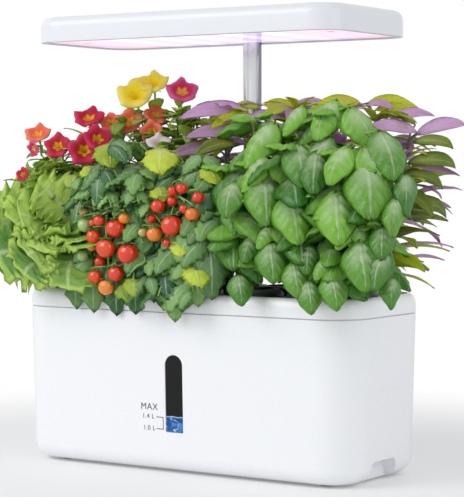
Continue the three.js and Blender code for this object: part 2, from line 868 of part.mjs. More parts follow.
function poleSleeve() {
  const outer = sleeveClearance + sleeveWall;
  const flangeBottom = deckUnderside - sleeveFlangeThickness;
  const flange = oval(flangeBottom, deckUnderside, outer + sleeveFlangeWidth);
  return cut(
    join(
      oval(sleeveBottom, deckUnderside, outer),
      common(flange, deckHollow(flangeBottom - overrun, deckUnderside + overrun, fitGap)),
    ),
    oval(sleeveBottom + sleeveFloor, deckUnderside + overrun, sleeveClearance),
  );
}

function poleCollar() {
  const inner = bushWall + 2 * fitGap;
  const outer = inner + bushCollarWall;
  const top = deckTop + bushCollarRise;
  const ring = loft([
    ovalLevel(deckTop, outer),
    ovalLevel(top - bushCollarRound, outer),
    ovalLevel(top, outer - bushCollarRound),
  ]);
  const hole = oval(deckTop - overrun, top + overrun, inner);
  return cut(common(ring, deckBed(deckTop - overrun, top + overrun, fitGap)), hole);
}

function frictionBush() {
  const top = deckUnderside + bushLength;
  return cut(
    oval(deckUnderside, top, bushWall + fitGap),
    oval(deckUnderside - overrun, top + overrun, fitGap),
  );
}

garden.add(piece("pole_sleeve", poleSleeve(), "grey"));
garden.add(piece("pole_collar", poleCollar(), "grey"));
garden.add(piece("friction_bush", frictionBush(), "rubber"));

// Fill flap, drawn about its hinge line

function fillFlap() {
  const plateBottom = deckTop + fitGap - flapHingeZ;
  const front = fillOffsetY - fillDepth / 2 - flapOverlap - flapHingeY;
  const plate = block(-flapHalf, flapHalf, front, 0, plateBottom, plateBottom + flapThickness);
  const reach = flapHalf + flapPinLength;
  return join(
    plate,
    rodAlongX(flapBarrelRadius, -flapHalf, flapHalf, 0, 0),
    rodAlongX(flapPinRadius, -reach, reach, 0, 0),
  );
}

const flap = piece("fill_flap", fillFlap(), "white");
flap.position.set(fillOffsetX, flapHingeY, flapHingeZ);
garden.add(flap);

// Buttons and what lies under them

function button() {
  const flangeTop = buttonBottom + buttonFlangeThickness;
  const top = deckTop + buttonProud;
  const profile = [
    [0, buttonBottom],
    [buttonRadius + buttonFlange, buttonBottom],
    [buttonRadius + buttonFlange, flangeTop],
    [buttonRadius, flangeTop],
    [buttonRadius, top - buttonEdgeRound],
    [buttonRadius - buttonEdgeRound, top],
    [0, top],
  ];
  return turned(profile, basketSteps);
}

for (const [name, x] of buttonPlaces) {
  const key = piece(name, button(), "grey");
  key.position.set(x, buttonOffsetY, 0);
  garden.add(key);
}

const pocketMiddleY = (pocketFront + pocketWall + deckBack) / 2;

function controlBoard() {
  const plate = block(
    pocketOffsetX - controlBoardWidth / 2,
    pocketOffsetX + controlBoardWidth / 2,
    pocketMiddleY - controlBoardDepth / 2,
    pocketMiddleY + controlBoardDepth / 2,
    controlBoardBottom,
    controlBoardTop,
  );
  const switchTop = buttonBottom - buttonTravel - buttonRestGap;
  const switches = buttonPlaces.map(([, x]) =>
    block(
      x - switchSize / 2,
      x + switchSize / 2,
      buttonOffsetY - switchSize / 2,
      buttonOffsetY + switchSize / 2,
      controlBoardTop - sinkIn,
      switchTop,
    ),
  );
  return join(plate, ...switches);
}

function boardCover() {
  const plate = block(
    pocketOffsetX - pocketWidth / 2,
    pocketOffsetX + pocketWidth / 2,
    pocketFront,
    deckBack - fitGap,
    pocketBottom - pocketCoverThickness,
    pocketBottom,
  );
  const posts = [-1, 1].map((side) =>
    rod(
      controlPostRadius,
      pocketBottom - sinkIn,
      controlBoardBottom,
      pocketOffsetX + (side * controlBoardWidth) / 2 - side * 2 * controlPostRadius,
      pocketMiddleY,
      smallSteps,
    ),
  );
  return join(plate, ...posts);
}

function powerInlet() {
  const face = bodyDepth / 2 - inletSetBack;
  const blockBack = deckBack - fitGap;
  const body = block(
    inletOffsetX - inletBlockWidth / 2,
    inletOffsetX + inletBlockWidth / 2,
    blockBack - inletBlockDepth,
    blockBack,
    controlBoardTop,
    inletHeight + inletRadius,
  );
  const barrel = rodAlongY(inletRadius, blockBack - sinkIn, face, inletOffsetX, inletHeight);
  const bore = rodAlongY(inletBoreRadius, face - inletBoreDepth, face + overrun, inletOffsetX, inletHeight);
  const pin = rodAlongY(
    inletPinRadius,
    face - inletBoreDepth - sinkIn,
    face - inletPinSetBack,
    inletOffsetX,
    inletHeight,
    smallSteps,
  );
  return join(cut(join(body, barrel), bore), pin);
}

garden.add(piece("control_board", controlBoard(), "board"));
garden.add(piece("board_cover", boardCover(), "white"));
garden.add(piece("power_inlet", powerInlet(), "charcoal"));

// Lamp on its pole

const lampLevel = (z, inset) => ({
  halfX: lampWidth / 2 - inset,
  halfY: lampDepth / 2 - inset,
  radius: lampCornerRadius - inset,
  y: lampOffsetY,
  z,
});

function lampForm(bottom, top, inset, round) {
  const levels = [lampLevel(bottom, inset)];
  for (let step = 0; step <= filletSteps; step += 1) {
    const angle = (step / filletSteps) * quarterTurn;
    levels.push(lampLevel(top - round * (1 - Math.sin(angle)), inset + round * (1 - Math.cos(angle))));
  }
  return loft(levels);
}

const lampRoof = lampTop - lampWall;
const boardBottom = lampUnderside + boardRise;
const boardTop = boardBottom + boardThickness;
const clampTopHeight = lampUnderside + clampTop;
const poleTop = clampTopHeight - clampRoof - fitGap;
const frameInset = lampWall + fitGap;
const panelBottom = lampUnderside + lampFrameLedge;
const panelTop = panelBottom + panelThickness;
const clampGrow = fitGap + clampWall;
const screwPlaces = [
  ["panel_screw_left", screwInset - lampWidth / 2],
  ["panel_screw_right", lampWidth / 2 - screwInset],
];
const screwY = lampOffsetY + screwOffsetY;
const screwTop = boardTop + screwBossRadius;

function pole() {
  const tube = cut(
    oval(poleBottom, poleTop),
    oval(poleBottom - overrun, poleTop + overrun, -poleWall),
  );
  const groove = (side) => {
    const face = poleOffsetY + (side * poleThickness) / 2;
    const floor = face - side * poleGrooveDepth;
    const edge = face + side * overrun;
    return block(
      -poleGrooveWidth / 2,
      poleGrooveWidth / 2,
      Math.min(floor, edge),
      Math.max(floor, edge),
      poleBottom - overrun,
      poleTop + overrun,
    );
  };
  return cut(tube, groove(-1), groove(1));
}

function lampHousing() {
  const outside = solid(lampForm(lampUnderside, lampTop, 0, lampTopRound));
  const inside = lampForm(lampUnderside - overrun, lampRoof, lampWall, lampTopRound - lampWall);
  const clampBoss = oval(clampTopHeight, lampRoof + sinkIn, clampGrow);
  const bosses = screwPlaces.map(([, x]) =>
    rod(screwBossRadius, boardTop, lampRoof + sinkIn, x, screwY, smallSteps),
  );
  const holes = screwPlaces.map(([, x]) =>
    rod(screwShankRadius + fitGap, boardTop - overrun, screwTop + fitGap, x, screwY, smallSteps),
  );
  return cut(join(cut(outside, inside), common(join(clampBoss, ...bosses), outside)), ...holes);
}

const poleNotch = (bottom, top) =>
  oval(bottom - overrun, top + overrun, poleNotchGap);

function lampFrame() {
  const top = lampUnderside + lampFrameThickness;
  const ring = lampForm(lampUnderside, top, frameInset, 0);
  return cut(
    ring,
    lampForm(lampUnderside - overrun, top + overrun, frameInset + lampFrameWidth, 0),
    lampForm(panelBottom, top + overrun, frameInset + lampFrameWidth - panelSeat, 0),
    poleNotch(lampUnderside, top),
  );
}

function lampPanel() {
  const plate = lampForm(panelBottom, panelTop, frameInset + lampFrameWidth - panelSeat + fitGap, 0);
  const spacers = screwPlaces.map(([, x]) =>
    rod(screwShankRadius + fitGap + screwBossWall, panelTop - sinkIn, boardBottom, x, screwY, smallSteps),
  );
  const holes = screwPlaces.flatMap(([, x]) => [
    rod(screwShankRadius + fitGap, panelBottom - overrun, boardBottom + overrun, x, screwY, smallSteps),
    rod(screwHeadRadius + fitGap, panelBottom - overrun, panelBottom + screwHeadHeight, x, screwY, smallSteps),
  ]);
  return cut(join(plate, ...spacers), poleNotch(panelBottom, panelTop), ...holes);
}

function ledBoard() {
  const plate = block(
    -boardWidth / 2,
    boardWidth / 2,
    lampOffsetY - boardDepth / 2,
    lampOffsetY + boardDepth / 2,
    boardBottom,
    boardTop,
  );
  const emitters = [];
  for (let row = 0; row < emitterRows; row += 1) {
    for (let column = 0; column < emitterColumns; column += 1) {
      const x = (column - (emitterColumns - 1) / 2) * emitterPitchX;
      const y = lampOffsetY + (row - (emitterRows - 1) / 2) * emitterPitchY;
      emitters.push(
        block(
          x - emitterSize / 2,
          x + emitterSize / 2,
          y - emitterSize / 2,
          y + emitterSize / 2,
          boardBottom - emitterHeight,
          boardBottom + sinkIn,
        ),
      );
    }
  }
  const holes = screwPlaces.map(([, x]) =>
    rod(screwShankRadius + fitGap, boardBottom - overrun, boardTop + overrun, x, screwY, smallSteps),
  );
  return cut(join(plate, ...emitters), ...holes);
}

function lampClamp() {
  return cut(
    oval(panelTop + fitGap, clampTopHeight, clampGrow),
    oval(panelBottom, clampTopHeight - clampRoof, fitGap),
  );
}

function panelScrew() {
  const headTop = panelBottom + screwHeadHeight;
  const profile = [
    [0, panelBottom],
    [screwHeadRadius, panelBottom],
    [screwHeadRadius, headTop],
    [screwShankRadius, headTop],
    [screwShankRadius, screwTop],
    [0, screwTop],
  ];
  return turned(profile, smallSteps);
}

garden.add(piece("pole", pole(), "metal"));
garden.add(piece("lamp_housing", lampHousing(), "lampWhite"));
garden.add(piece("lamp_frame", lampFrame(), "lampWhite"));
garden.add(piece("lamp_panel", lampPanel(), "panel"));
garden.add(piece("led_board", ledBoard(), "board"));
garden.add(piece("lamp_clamp", lampClamp(), "basket"));
for (const [name, x] of screwPlaces) {
  const screw = piece(name, panelScrew(), "metal");
  screw.position.set(x, screwY, 0);
  garden.add(screw);
}

// Baskets and sponges, drawn from the deck's top face

const cupTopRadius = podHoleRadius - basketClearance;
const cupInnerTop = cupTopRadius - basketWall;
const cupInnerBottom = basketBottomRadius - basketWall;
const cupFloor = basketWall - basketDepth;
const basketFlat = Math.cos(halfTurn / basketSteps);

function basket() {
  const crown = collarRise - collarEdge;
  const profile = [
    [0, -basketDepth],
    [basketBottomRadius, -basketDepth],
    [cupTopRadius, 0],
    [collarRadius, 0],
    [collarRadius, collarEdge],
  ];
  for (let step = 1; step <= collarSteps; step += 1) {
    const angle = (step / collarSteps) * quarterTurn;
    const radius = collarRadius - (collarRadius - collarMouthRadius) * (1 - Math.cos(angle));
    profile.push([radius, collarEdge + crown * Math.sin(angle)]);
  }
  profile.push([cupInnerTop, 0], [cupInnerBottom, cupFloor], [0, cupFloor]);
  const tools = [];
  const reach = cupTopRadius + overrun;
  for (let k = 0; k < basketSlotPairs; k += 1) {
    const slot = block(
      -reach,
      reach,
      -basketSlotWidth / 2,
      basketSlotWidth / 2,
      -basketSlotDrop - basketSlotLength,
      -basketSlotDrop,
    );
    tools.push(slot.rotateZ(halfTurn / basketSteps + (k * halfTurn) / basketSlotPairs));
  }
  const drain = basketBottomRadius - basketDrainInset;
  const drainHalf = basketDrainWidth / 2;
  tools.push(block(-drain, drain, -drainHalf, drainHalf, -basketDepth - overrun, cupFloor + overrun));
  return cut(turned(profile, basketSteps), ...tools);
}

function sponge() {
  const bottom = cupFloor + spongeFloorGap;
  const radiusAt = (z) => cupInnerBottom + ((cupInnerTop - cupInnerBottom) * (z - cupFloor)) / -cupFloor;
  const lowRadius = radiusAt(bottom) * basketFlat - fitGap;
  const highRadius = Math.min(cupInnerTop, collarMouthRadius) * basketFlat - fitGap;
  const profile = [[0, bottom], [lowRadius, bottom], [highRadius, 0], [highRadius, spongeRise], [0, spongeRise]];
  return turned(profile, spongeSteps);
}

// Plants, drawn from the top of their sponge

// A pointed leaf blade that starts at a stem and runs along a heading, tilted up or down
function leafBlade(from, turn, tilt, length, width) {
  const blade = new THREE.OctahedronGeometry(1);
  blade.scale(length / 2, width / 2, leafThickness / 2);
  return blade.translate(length / 2, 0, 0).rotateY(-tilt).rotateZ(turn).translate(...from);
}

const heading = (turn, tilt, length) => [
  length * Math.cos(tilt) * Math.cos(turn),
  length * Math.cos(tilt) * Math.sin(turn),
  length * Math.sin(tilt),
];
const offset = (from, by) => from.map((value, k) => value + by[k]);
const along = (top, share) => top.map((value) => value * share);

// A leaning stem with its leaves in a rising spiral, the youngest smallest
function leafyStem(top, leaf, turn) {
  const shapes = [strut([0, 0, 0], top, stemRadius)];
  for (let k = 0; k < leaf.count; k += 1) {
    const share = leaf.bareShare + ((1 - leaf.bareShare) * k) / (leaf.count - 1);
    const tilt = leaf.lowTilt + (leaf.highTilt - leaf.lowTilt) * share;
    const size = 1 - leaf.taperShare * share;
    const node = along(top, share);
    node[2] -= stemRadius;
    shapes.push(leafBlade(node, turn + k * goldenTurn, tilt, leaf.length * size, leaf.width * size));
  }
  return shapes;
}

// Round fruits to the left and right of a stalk that bows out from the stem and then hangs
function truss(from, turn) {
  const bow = offset(from, heading(turn, trussRise, trussReach));
  const end = offset(bow, [0, 0, -fruitsPerTruss * fruitPitch]);
  const shapes = [strut(from, bow, stalkRadius), strut(bow, end, stalkRadius)];
  for (let k = 1; k <= fruitsPerTruss; k += 1) {
    const side = k % 2 ? 1 : -1;
    const place = offset(bow, heading(turn + side * quarterTurn, 0, fruitRadius - stalkRadius / 2));
    place[2] -= k * fruitPitch;
    shapes.push(new THREE.IcosahedronGeometry(fruitRadius).translate(...place));
  }
  return shapes;
}

// An open flower on a stalk
function flower(from, turn) {
  const mouth = offset(from, heading(turn, flowerTilt, flowerStalk));
  const bell = new THREE.ConeGeometry(flowerRadius, flowerDepth, flowerSides).rotateZ(quarterTurn);
  bell.rotateY(-flowerTilt).rotateZ(turn).translate(...mouth);
  return [strut(from, mouth, stalkRadius), bell];
}

// The room of a pod's plant in the crown, so that no two plants meet. The plant behind the first pod
// spills forward over the low one in front of it.
function plantRoom({ row, column, x }) {
  const edge = (side) => {
    const outermost = column === (side > 0 ? podColumns - 1 : 0);
    return outermost ? side * foliageReachX : x + side * (podPitchX / 2 - fitGap);
  };
  const spills = column === 0;
  const rearTop = column < (podColumns - 1) / 2 ? bloomTop : foliageTop;
  const frontTop = spills ? spillHeight - fitGap : foliageTop;
  return {
    lowX: edge(-1),
    highX: edge(1),
    lowY: row === 0 ? -foliageReachY : podOffsetY + fitGap,
    highY: row === 0 ? podOffsetY - fitGap : foliageReachY,
    spillY: row === 1 && spills ? -foliageReachY : null,
    top: row === 0 ? frontTop : rearTop,
  };
}

function roomForm({ lowX, highX, lowY, highY, spillY, top }, { x, y }) {
  const parts = [block(lowX, highX, lowY, highY, foliageBase, top)];
  if (spillY !== null) parts.push(block(lowX, highX, spillY, highY, spillHeight, top));
  const foot = deckTop + spongeRise + fitGap;
  parts.push(rod(collarMouthRadius * basketFlat - fitGap, foot, foliageBase + sinkIn, x, y, smallSteps));
  return cut(join(...parts), oval(deckTop, bloomTop + overrun, poleLeafGap));
}

function plant({ leaf, stemShares, flowersPerStem = 0, trussShares = [] }, room, place) {
  const shapes = [];
  const foot = deckTop + spongeRise;
  const nearY = room.spillY ?? room.lowY;
  const tips = stemShares.map(([shareX, shareY, shareZ]) => {
    const reachX = shareX < 0 ? place.x - room.lowX : room.highX - place.x;
    const reachY = shareY < 0 ? place.y - nearY : room.highY - place.y;
    return [shareX * reachX, shareY * reachY, shareZ * (room.top - foot)];
  });
  tips.forEach((tip, k) => {
    const turn = Math.atan2(tip[1], tip[0]) + k * stemTurn;
    shapes.push(...leafyStem(tip, leafForms[leaf], turn));
    for (let n = 0; n < flowersPerStem; n += 1) {
      const share = 1 - (n * flowerSpreadShare) / flowersPerStem;
      shapes.push(...flower(along(tip, share), turn + quarterTurn + n * goldenTurn));
    }
  });
  for (const [share, turnShare] of trussShares) {
    shapes.push(...truss(along(tips[0], share), turnShare * 2 * halfTurn));
  }
  return join(...shapes).translate([place.x, place.y, foot]);
}

// What is left of a trimmed plant and still hangs together
function rooted(body) {
  const bodies = body.decompose();
  return bodies.reduce((largest, next) => (next.volume() > largest.volume() ? next : largest));
}

podPlaces.forEach((place, k) => {
  const number = k + 1;
  const pod = new THREE.Group();
  pod.position.set(place.x, place.y, deckTop);
  pod.add(piece("basket_" + number, basket(), "basket"));
  pod.add(piece("sponge_" + number, sponge(), "sponge"));
  garden.add(pod);
  const room = plantRoom(place);
  const grown = plant(plantForms[k], room, place);
  const trimmed = rooted(common(grown, roomForm(room, place)));
  garden.add(piece("plant_" + number, trimmed, plantForms[k].leaf));
});

export default garden;
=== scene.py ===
# The indoor garden with its grow light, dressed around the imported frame: a white moulded tub with a
# planting deck, ten net baskets with their plants, and a lamp on a polished pole. Metres, +Z up.

import math
import random

import bpy
from mathutils import Matrix, Vector


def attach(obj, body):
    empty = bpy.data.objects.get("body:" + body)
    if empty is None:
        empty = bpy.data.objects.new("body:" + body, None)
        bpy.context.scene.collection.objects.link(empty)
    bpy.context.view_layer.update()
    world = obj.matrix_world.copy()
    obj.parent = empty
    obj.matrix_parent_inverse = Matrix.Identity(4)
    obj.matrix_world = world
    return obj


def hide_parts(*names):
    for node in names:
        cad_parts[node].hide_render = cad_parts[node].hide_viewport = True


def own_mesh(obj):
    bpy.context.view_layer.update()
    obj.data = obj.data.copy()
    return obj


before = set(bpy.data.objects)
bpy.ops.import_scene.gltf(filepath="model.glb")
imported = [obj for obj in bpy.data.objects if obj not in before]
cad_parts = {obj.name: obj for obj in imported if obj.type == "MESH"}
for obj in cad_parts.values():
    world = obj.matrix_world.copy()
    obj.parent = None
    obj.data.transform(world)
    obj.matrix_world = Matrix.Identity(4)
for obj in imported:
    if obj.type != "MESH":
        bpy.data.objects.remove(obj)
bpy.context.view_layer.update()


# Camera. It stands in front and to the right, level with the lower leaves, and looks down a little.
# Its long lens keeps the tub's edges nearly parallel.

mm = 0.001
camera_turn, camera_dip = 33.643, 2.332

photo_camera = bpy.data.objects.new("photo_camera", bpy.data.cameras.new("photo_camera"))
photo_camera.data.lens = 137.6
photo_camera.data.sensor_width = 36
photo_camera.location = Vector((865.9, -1281.4, 240.3)) * mm
photo_camera.rotation_euler = (math.radians(90 - camera_dip), 0, math.radians(camera_turn))
bpy.context.scene.collection.objects.link(photo_camera)
bpy.context.scene.camera = photo_camera
bpy.context.scene.view_settings.view_transform = "Standard"


# Room. A white table under a white sky, a wide soft lamp high on the left and a weaker one on the right.
# The table turns plain white away from the garden and keeps its soft shadow close to it.

def shade(code):
    """A written colour such as f1f2f6 as a shader's four numbers."""
    parts = [int(code[k:k + 2], 16) / 255 for k in (0, 2, 4)]
    linear = [p / 12.92 if p <= 0.04045 else ((p + 0.055) / 1.055) ** 2.4 for p in parts]
    return (*linear, 1)


class Wire:
    """An output socket that sums and products can be written with."""

    def __init__(self, finish, socket):
        self.finish = finish
        self.socket = socket

    def worked(self, operation, *values):
        return self.finish.node("Math", {"operation": operation}, dict(enumerate(values)))

    def __add__(self, other):
        return self.worked("ADD", self, other)

    def __sub__(self, other):
        return self.worked("SUBTRACT", self, other)

    def __rsub__(self, other):
        return self.worked("SUBTRACT", other, self)

    def __mul__(self, other):
        return self.worked("MULTIPLY", self, other)

    def __abs__(self):
        return self.worked("ABSOLUTE", self)

    def or_more(self, other):
        return self.worked("MAXIMUM", self, other)

    def sine(self):
        return self.worked("SINE", self)

    def cosine(self):
        return self.worked("COSINE", self)

    __radd__ = __add__
    __rmul__ = __mul__


class Finish:
    """A material, or the sky, whose nodes are written as expressions."""

    def __init__(self, owner):
        self.owner = owner
        owner.use_nodes = True
        self.tree = owner.node_tree
        self.tree.nodes.clear()

    def node(self, kind, settings=None, sockets=None, out=0):
        made = self.tree.nodes.new("ShaderNode" + kind)
        for name, value in (settings or {}).items():
            setattr(made, name, value)
        for name, value in (sockets or {}).items():
            if isinstance(value, Wire):
                self.tree.links.new(value.socket, made.inputs[name])
            else:
                made.inputs[name].default_value = value
        return Wire(self, made.outputs[out]) if made.outputs else self.owner

    def mixed(self, share, first, second):
        """Two colours mixed by a share."""
        return self.node("Mix", {"data_type": "RGBA"}, {0: share, 6: first, 7: second}, out=2)

    def eased(self, value, low, high, start=0, end=1):
        """A range of the value spread over another one, and held at both ends."""
        sockets = {"Value": value, "From Min": low, "From Max": high, "To Min": start, "To Max": end}
        return self.node("MapRange", {"interpolation_type": "SMOOTHSTEP"}, sockets)

    def place(self, axis=None):
        """The shaded point in the object's own metres, or its reach along one axis."""
        point = self.node("TexCoord", out="Object")
        return point if axis is None else self.node("SeparateXYZ", sockets={0: point}, out=axis)

    def noise(self, scale, detail=2, stretch=(1, 1, 1)):
        """Soft random spots around 0.5, so many to the metre."""
        point = self.node("VectorMath", {"operation": "MULTIPLY"}, {0: self.place(), 1: stretch})
        return self.node("TexNoise", sockets={"Vector": point, "Scale": scale, "Detail": detail})

    def relief(self, height, depth):
        """The normal of a fine relief, its height from 0 to 1 and its depth in metres."""
        return self.node("Bump", sockets={"Height": height, "Distance": depth})

    def gloss(self, **sockets):
        """The shader of a solid thing, its sockets by their names."""
        named = {name.replace("_", " ").title().replace("Ior", "IOR"): v for name, v in sockets.items()}
        return self.node("BsdfPrincipled", sockets=named)

    def shown(self, shader):
        return self.node("OutputMaterial", sockets={"Surface": shader})


def material(name):
    return Finish(bpy.data.materials.new(name))


def placed(name, mesh):
    thing = bpy.data.objects.new(name, mesh)
    bpy.context.scene.collection.objects.link(thing)
    return thing


def white_sky():
    """White to the eye, in gloss and through glass, and softer as a light."""
    sky_light = 0.62
    sky = Finish(bpy.data.worlds.new("white_sky"))
    rays = [sky.node("LightPath", out=f"Is {kind} Ray") for kind in ("Camera", "Glossy", "Transmission")]
    seen = rays[0].or_more(rays[1]).or_more(rays[2])
    cool = sky.mixed(seen, shade("f6f8fc"), shade("ffffff"))
    strength = seen * (1 - sky_light) + sky_light
    glow = sky.node("Background", sockets={"Color": cool, "Strength": strength})
    sky.node("OutputWorld", sockets={"Surface": glow})
    return sky.owner


def table_finish():
    near, far, least = 0.26, 0.62, 0.22
    paint = material("table_white")
    reach = paint.node("VectorMath", {"operation": "LENGTH"}, {0: paint.place()}, out=1)
    seen = paint.node("LightPath", out="Is Camera Ray")
    grain = paint.noise(240)
    tone = paint.mixed(grain, shade("f7f7f8"), shade("fbfbfb"))
    matt = paint.gloss(base_color=tone, roughness=0.7, specular_ior_level=0.2)
    plain = paint.node("Emission", sockets={"Color": shade("ffffff"), "Strength": 1})
    share = paint.eased(reach, near, far, least, 1) * seen
    return paint.shown(paint.node("MixShader", sockets={0: share, 1: matt, 2: plain}))


def soft_lamp(name, place, size, power):
    """A square soft lamp that faces the garden's middle, its place in metres and its power in watts."""
    garden_middle = Vector((0, 0, 0.18))
    light = bpy.data.lights.new(name, "AREA")
    light.size = size
    light.energy = power
    lamp = placed(name, light)
    lamp.location = place
    lamp.rotation_euler = (garden_middle - lamp.location).to_track_quat("-Z", "Y").to_euler()


bpy.context.scene.world = white_sky()
table_half = 4
table_mesh = bpy.data.meshes.new("table")
table_corners = [(x * table_half, y * table_half, 0) for x, y in ((-1, -1), (1, -1), (1, 1), (-1, 1))]
table_mesh.from_pydata(table_corners, [], [(0, 1, 2, 3)])
table_mesh.materials.append(table_finish())
placed("table", table_mesh)
soft_lamp("window_light", (-1.1, -1.7, 1.3), 1.4, 21)
soft_lamp("room_light", (1.9, -0.4, 1.0), 1.2, 7)


# Tank. A tub moulded in glossy white plastic, 2.6 mm thick, with walls that lean in towards the table,
# a wide rounded bottom edge, and a grip for the fingers cut up into each end. Millimetres from here on.

body_width, body_depth, body_corner = 320, 130, 33
seam = 128.5
foot_rise = 2
wall = 2.6
wall_lean = 3.3
grip_half, grip_top_half, grip_height, grip_depth, grip_middle = 25, 19, 16, 12, -5
foot_x, foot_y, foot_socket, socket_top = 125, 35, 7.3, 3
floor_thickness, outer_round, inner_round = 3, 13, 9


def made(name, points, faces):
    """A piece from points in millimetres."""
    mesh = bpy.data.meshes.new(name)
    mesh.from_pydata([Vector(point) * mm for point in points], [], faces)
    mesh.validate()
    return placed(name, mesh)


def ring(half_x, half_y, corner, z, middle_y=0, steps=12):
    """A rounded rectangle seen from above."""
    points = []
    for quarter, (side_x, side_y) in enumerate(((1, 1), (-1, 1), (-1, -1), (1, -1))):
        for step in range(steps + 1):
            angle = (quarter + step / steps) * math.pi / 2
            x = side_x * (half_x - corner) + corner * math.cos(angle)
            y = side_y * (half_y - corner) + corner * math.sin(angle)
            points.append((x, middle_y + y, z))
    return points


def lofted(name, rings):
    """A closed body through rings of the same count, from the lowest to the highest."""
    count = len(rings[0])
    last = count * (len(rings) - 1)
    faces = [tuple(range(count - 1, -1, -1)), tuple(range(last, last + count))]
    for base in range(0, last, count):
        for k in range(count):
            after = (k + 1) % count
            faces.append((base + k, base + after, base + count + after, base + count + k))
    return made(name, [point for level in rings for point in level], faces)


def extruded(name, outline, low, high, turn=Matrix()):
    """A flat outline drawn out along its own third axis, then turned into place."""
    rings = [[turn @ Vector((x, y, z)) for x, y in outline] for z in (low, high)]
    return lofted(name, rings)


def boxed(name, low, high):
    (x0, y0, z0), (x1, y1, z1) = low, high
    return lofted(name, [[(x0, y0, z), (x1, y0, z), (x1, y1, z), (x0, y1, z)] for z in (z0, z1)])


def arc(middle, radius, start, end, steps=8):
    """Points on part of a circle, its ends in quarter turns."""
    angles = [(start + (end - start) * k / steps) * math.pi / 2 for k in range(steps + 1)]
    return [(middle[0] + radius * math.cos(a), middle[1] + radius * math.sin(a)) for a in angles]


def quarter_round(steps=8):
    """What a quarter round still misses of its radius, first in sines and then in cosines."""
    angles = [step / steps * math.pi / 2 for step in range(steps + 1)]
    return [(1 - math.sin(angle), 1 - math.cos(angle)) for angle in angles]


def round_hole(x, y, radius, low=120, high=150, steps=12):
    tool = lofted("hole", [ring(radius, radius, radius, z, steps=steps) for z in (low, high)])
    tool.location = Vector((x, y, 0)) * mm
    return tool


def worked_mesh(thing):
    """The mesh of a piece with its modifiers, or of a line of text."""
    bpy.context.view_layer.update()
    graph = bpy.context.evaluated_depsgraph_get()
    return bpy.data.meshes.new_from_object(thing.evaluated_get(graph))


def settled(piece):
    """The piece with its modifiers worked into its mesh."""
    mesh = worked_mesh(piece)
    piece.modifiers.clear()
    piece.data = mesh
    return piece


def fused(piece, tools, operation):
    for tool in tools:
        step = piece.modifiers.new("step", "BOOLEAN")
        step.operation = operation
        step.solver = "EXACT"
        step.object = tool
    settled(piece)
    for tool in tools:
        bpy.data.objects.remove(tool)
    return piece


def cut_away(piece, *tools):
    return fused(piece, tools, "DIFFERENCE")


def joined(piece, *tools):
    return fused(piece, tools, "UNION")


def softened(piece, width, segments=2, sharp=35):
    """Edges rounded by so many millimetres, round faces shaded smooth and flat ones left flat."""
    edges = piece.modifiers.new("edges", "BEVEL")
    edges.width = width * mm
    edges.segments = segments
    edges.limit_method = "ANGLE"
    edges.angle_limit = math.radians(sharp)
    settled(piece)
    piece.data.shade_smooth()
    piece.data.set_sharp_from_angle(angle=math.radians(sharp))
    normals = piece.modifiers.new("normals", "WEIGHTED_NORMAL")
    normals.keep_sharp = True
    return piece


def dressed(piece, finish):
    piece.data.materials.clear()
    piece.data.materials.append(finish)
    return piece


def dressed_node(name, finish, edge=0):
    """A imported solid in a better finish, with its edges rounded by so many millimetres."""
    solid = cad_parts[name]
    if not solid.material_slots:
        solid.data.materials.append(finish)
    for slot in solid.material_slots:
        slot.material = finish
    if edge:
        edges = solid.modifiers.new("edges", "BEVEL")
        edges.width = edge * mm
        edges.limit_method = "ANGLE"
        edges.angle_limit = math.radians(40)


def lean_at(z):
    """How far the leaning walls stand in at a height."""
    return wall_lean * (seam - z) / (seam - foot_rise)


def body_ring(z, inset):
    return ring(body_width / 2 - inset, body_depth / 2 - inset, body_corner - inset, z)


def tub(name, bottom, top, inset, rounding):
    """The tub's leaning form with a rounded bottom edge, used for its outside and for its hollow."""
    rings = []
    for pull, climb in quarter_round():
        z = bottom + rounding * climb
        rings.append(body_ring(z, inset + lean_at(z) + rounding * pull))
    rings.append(body_ring(top, inset + lean_at(top)))
    return lofted(name, rings)


def grip_space(side, grow):
    """The hollow of a finger grip, from inside the end wall out past it."""
    half, half_top, height, corner = grip_half + grow, grip_top_half + grow, grip_height + grow, 5
    outline = [(-half, -2), (half, -2)]
    outline += arc((half_top - corner, height - corner), corner, 0.1, 1)
    outline += arc((corner - half_top, height - corner), corner, 1, 1.9)
    start = body_width / 2 - wall_lean - grip_depth - grow
    along_x = Matrix(((0, 0, side, 0), (1, 0, 0, grip_middle), (0, 1, 0, foot_rise), (0, 0, 0, 1)))
    tool = extruded("grip_space", outline, start, body_width / 2 + 4, along_x)
    if side < 0:
        tool.data.flip_normals()
    return tool


def window_place():
    """The level window's own axes: X to the right, Y up the leaning wall, Z out of it."""
    rise = 34
    lean = math.atan(wall_lean / (seam - foot_rise))
    up = (-math.sin(lean), math.cos(lean))
    out = (-math.cos(lean), -math.sin(lean))
    return Matrix((
        (1, 0, 0, 0),
        (0, up[0], out[0], lean_at(rise) - body_depth / 2),
        (0, up[1], out[1], rise),
        (0, 0, 0, 1),
    ))


def window_form(name, grow, low, high):
    """The window's outline with its flat foot and round head, grown all round and drawn out of the wall."""
    half, head = 8, 53
    outline = [(-half - grow, -grow), (half + grow, -grow)] + arc((0, head), half + grow, 0, 2, 20)
    return extruded(name, outline, low, high, window_place())


def scaled(code, share):
    """A written colour made darker or lighter by a share."""
    return (*[part * share for part in shade(code)[:3]], 1)


def moulded_finish(name, colour, roughness=0.28):
    """Moulded plastic: a fine even grain in the colour and the gloss."""
    paint = material(name)
    fine = paint.noise(900, 3)
    tone = paint.mixed(fine, scaled(colour, 0.985), shade(colour))
    rough = paint.eased(fine, 0.25, 0.75, roughness - 0.01, roughness + 0.02)
    normal = paint.relief(fine, 0.00002)
    return paint.shown(paint.gloss(base_color=tone, roughness=rough, normal=normal, coat_weight=0.15))


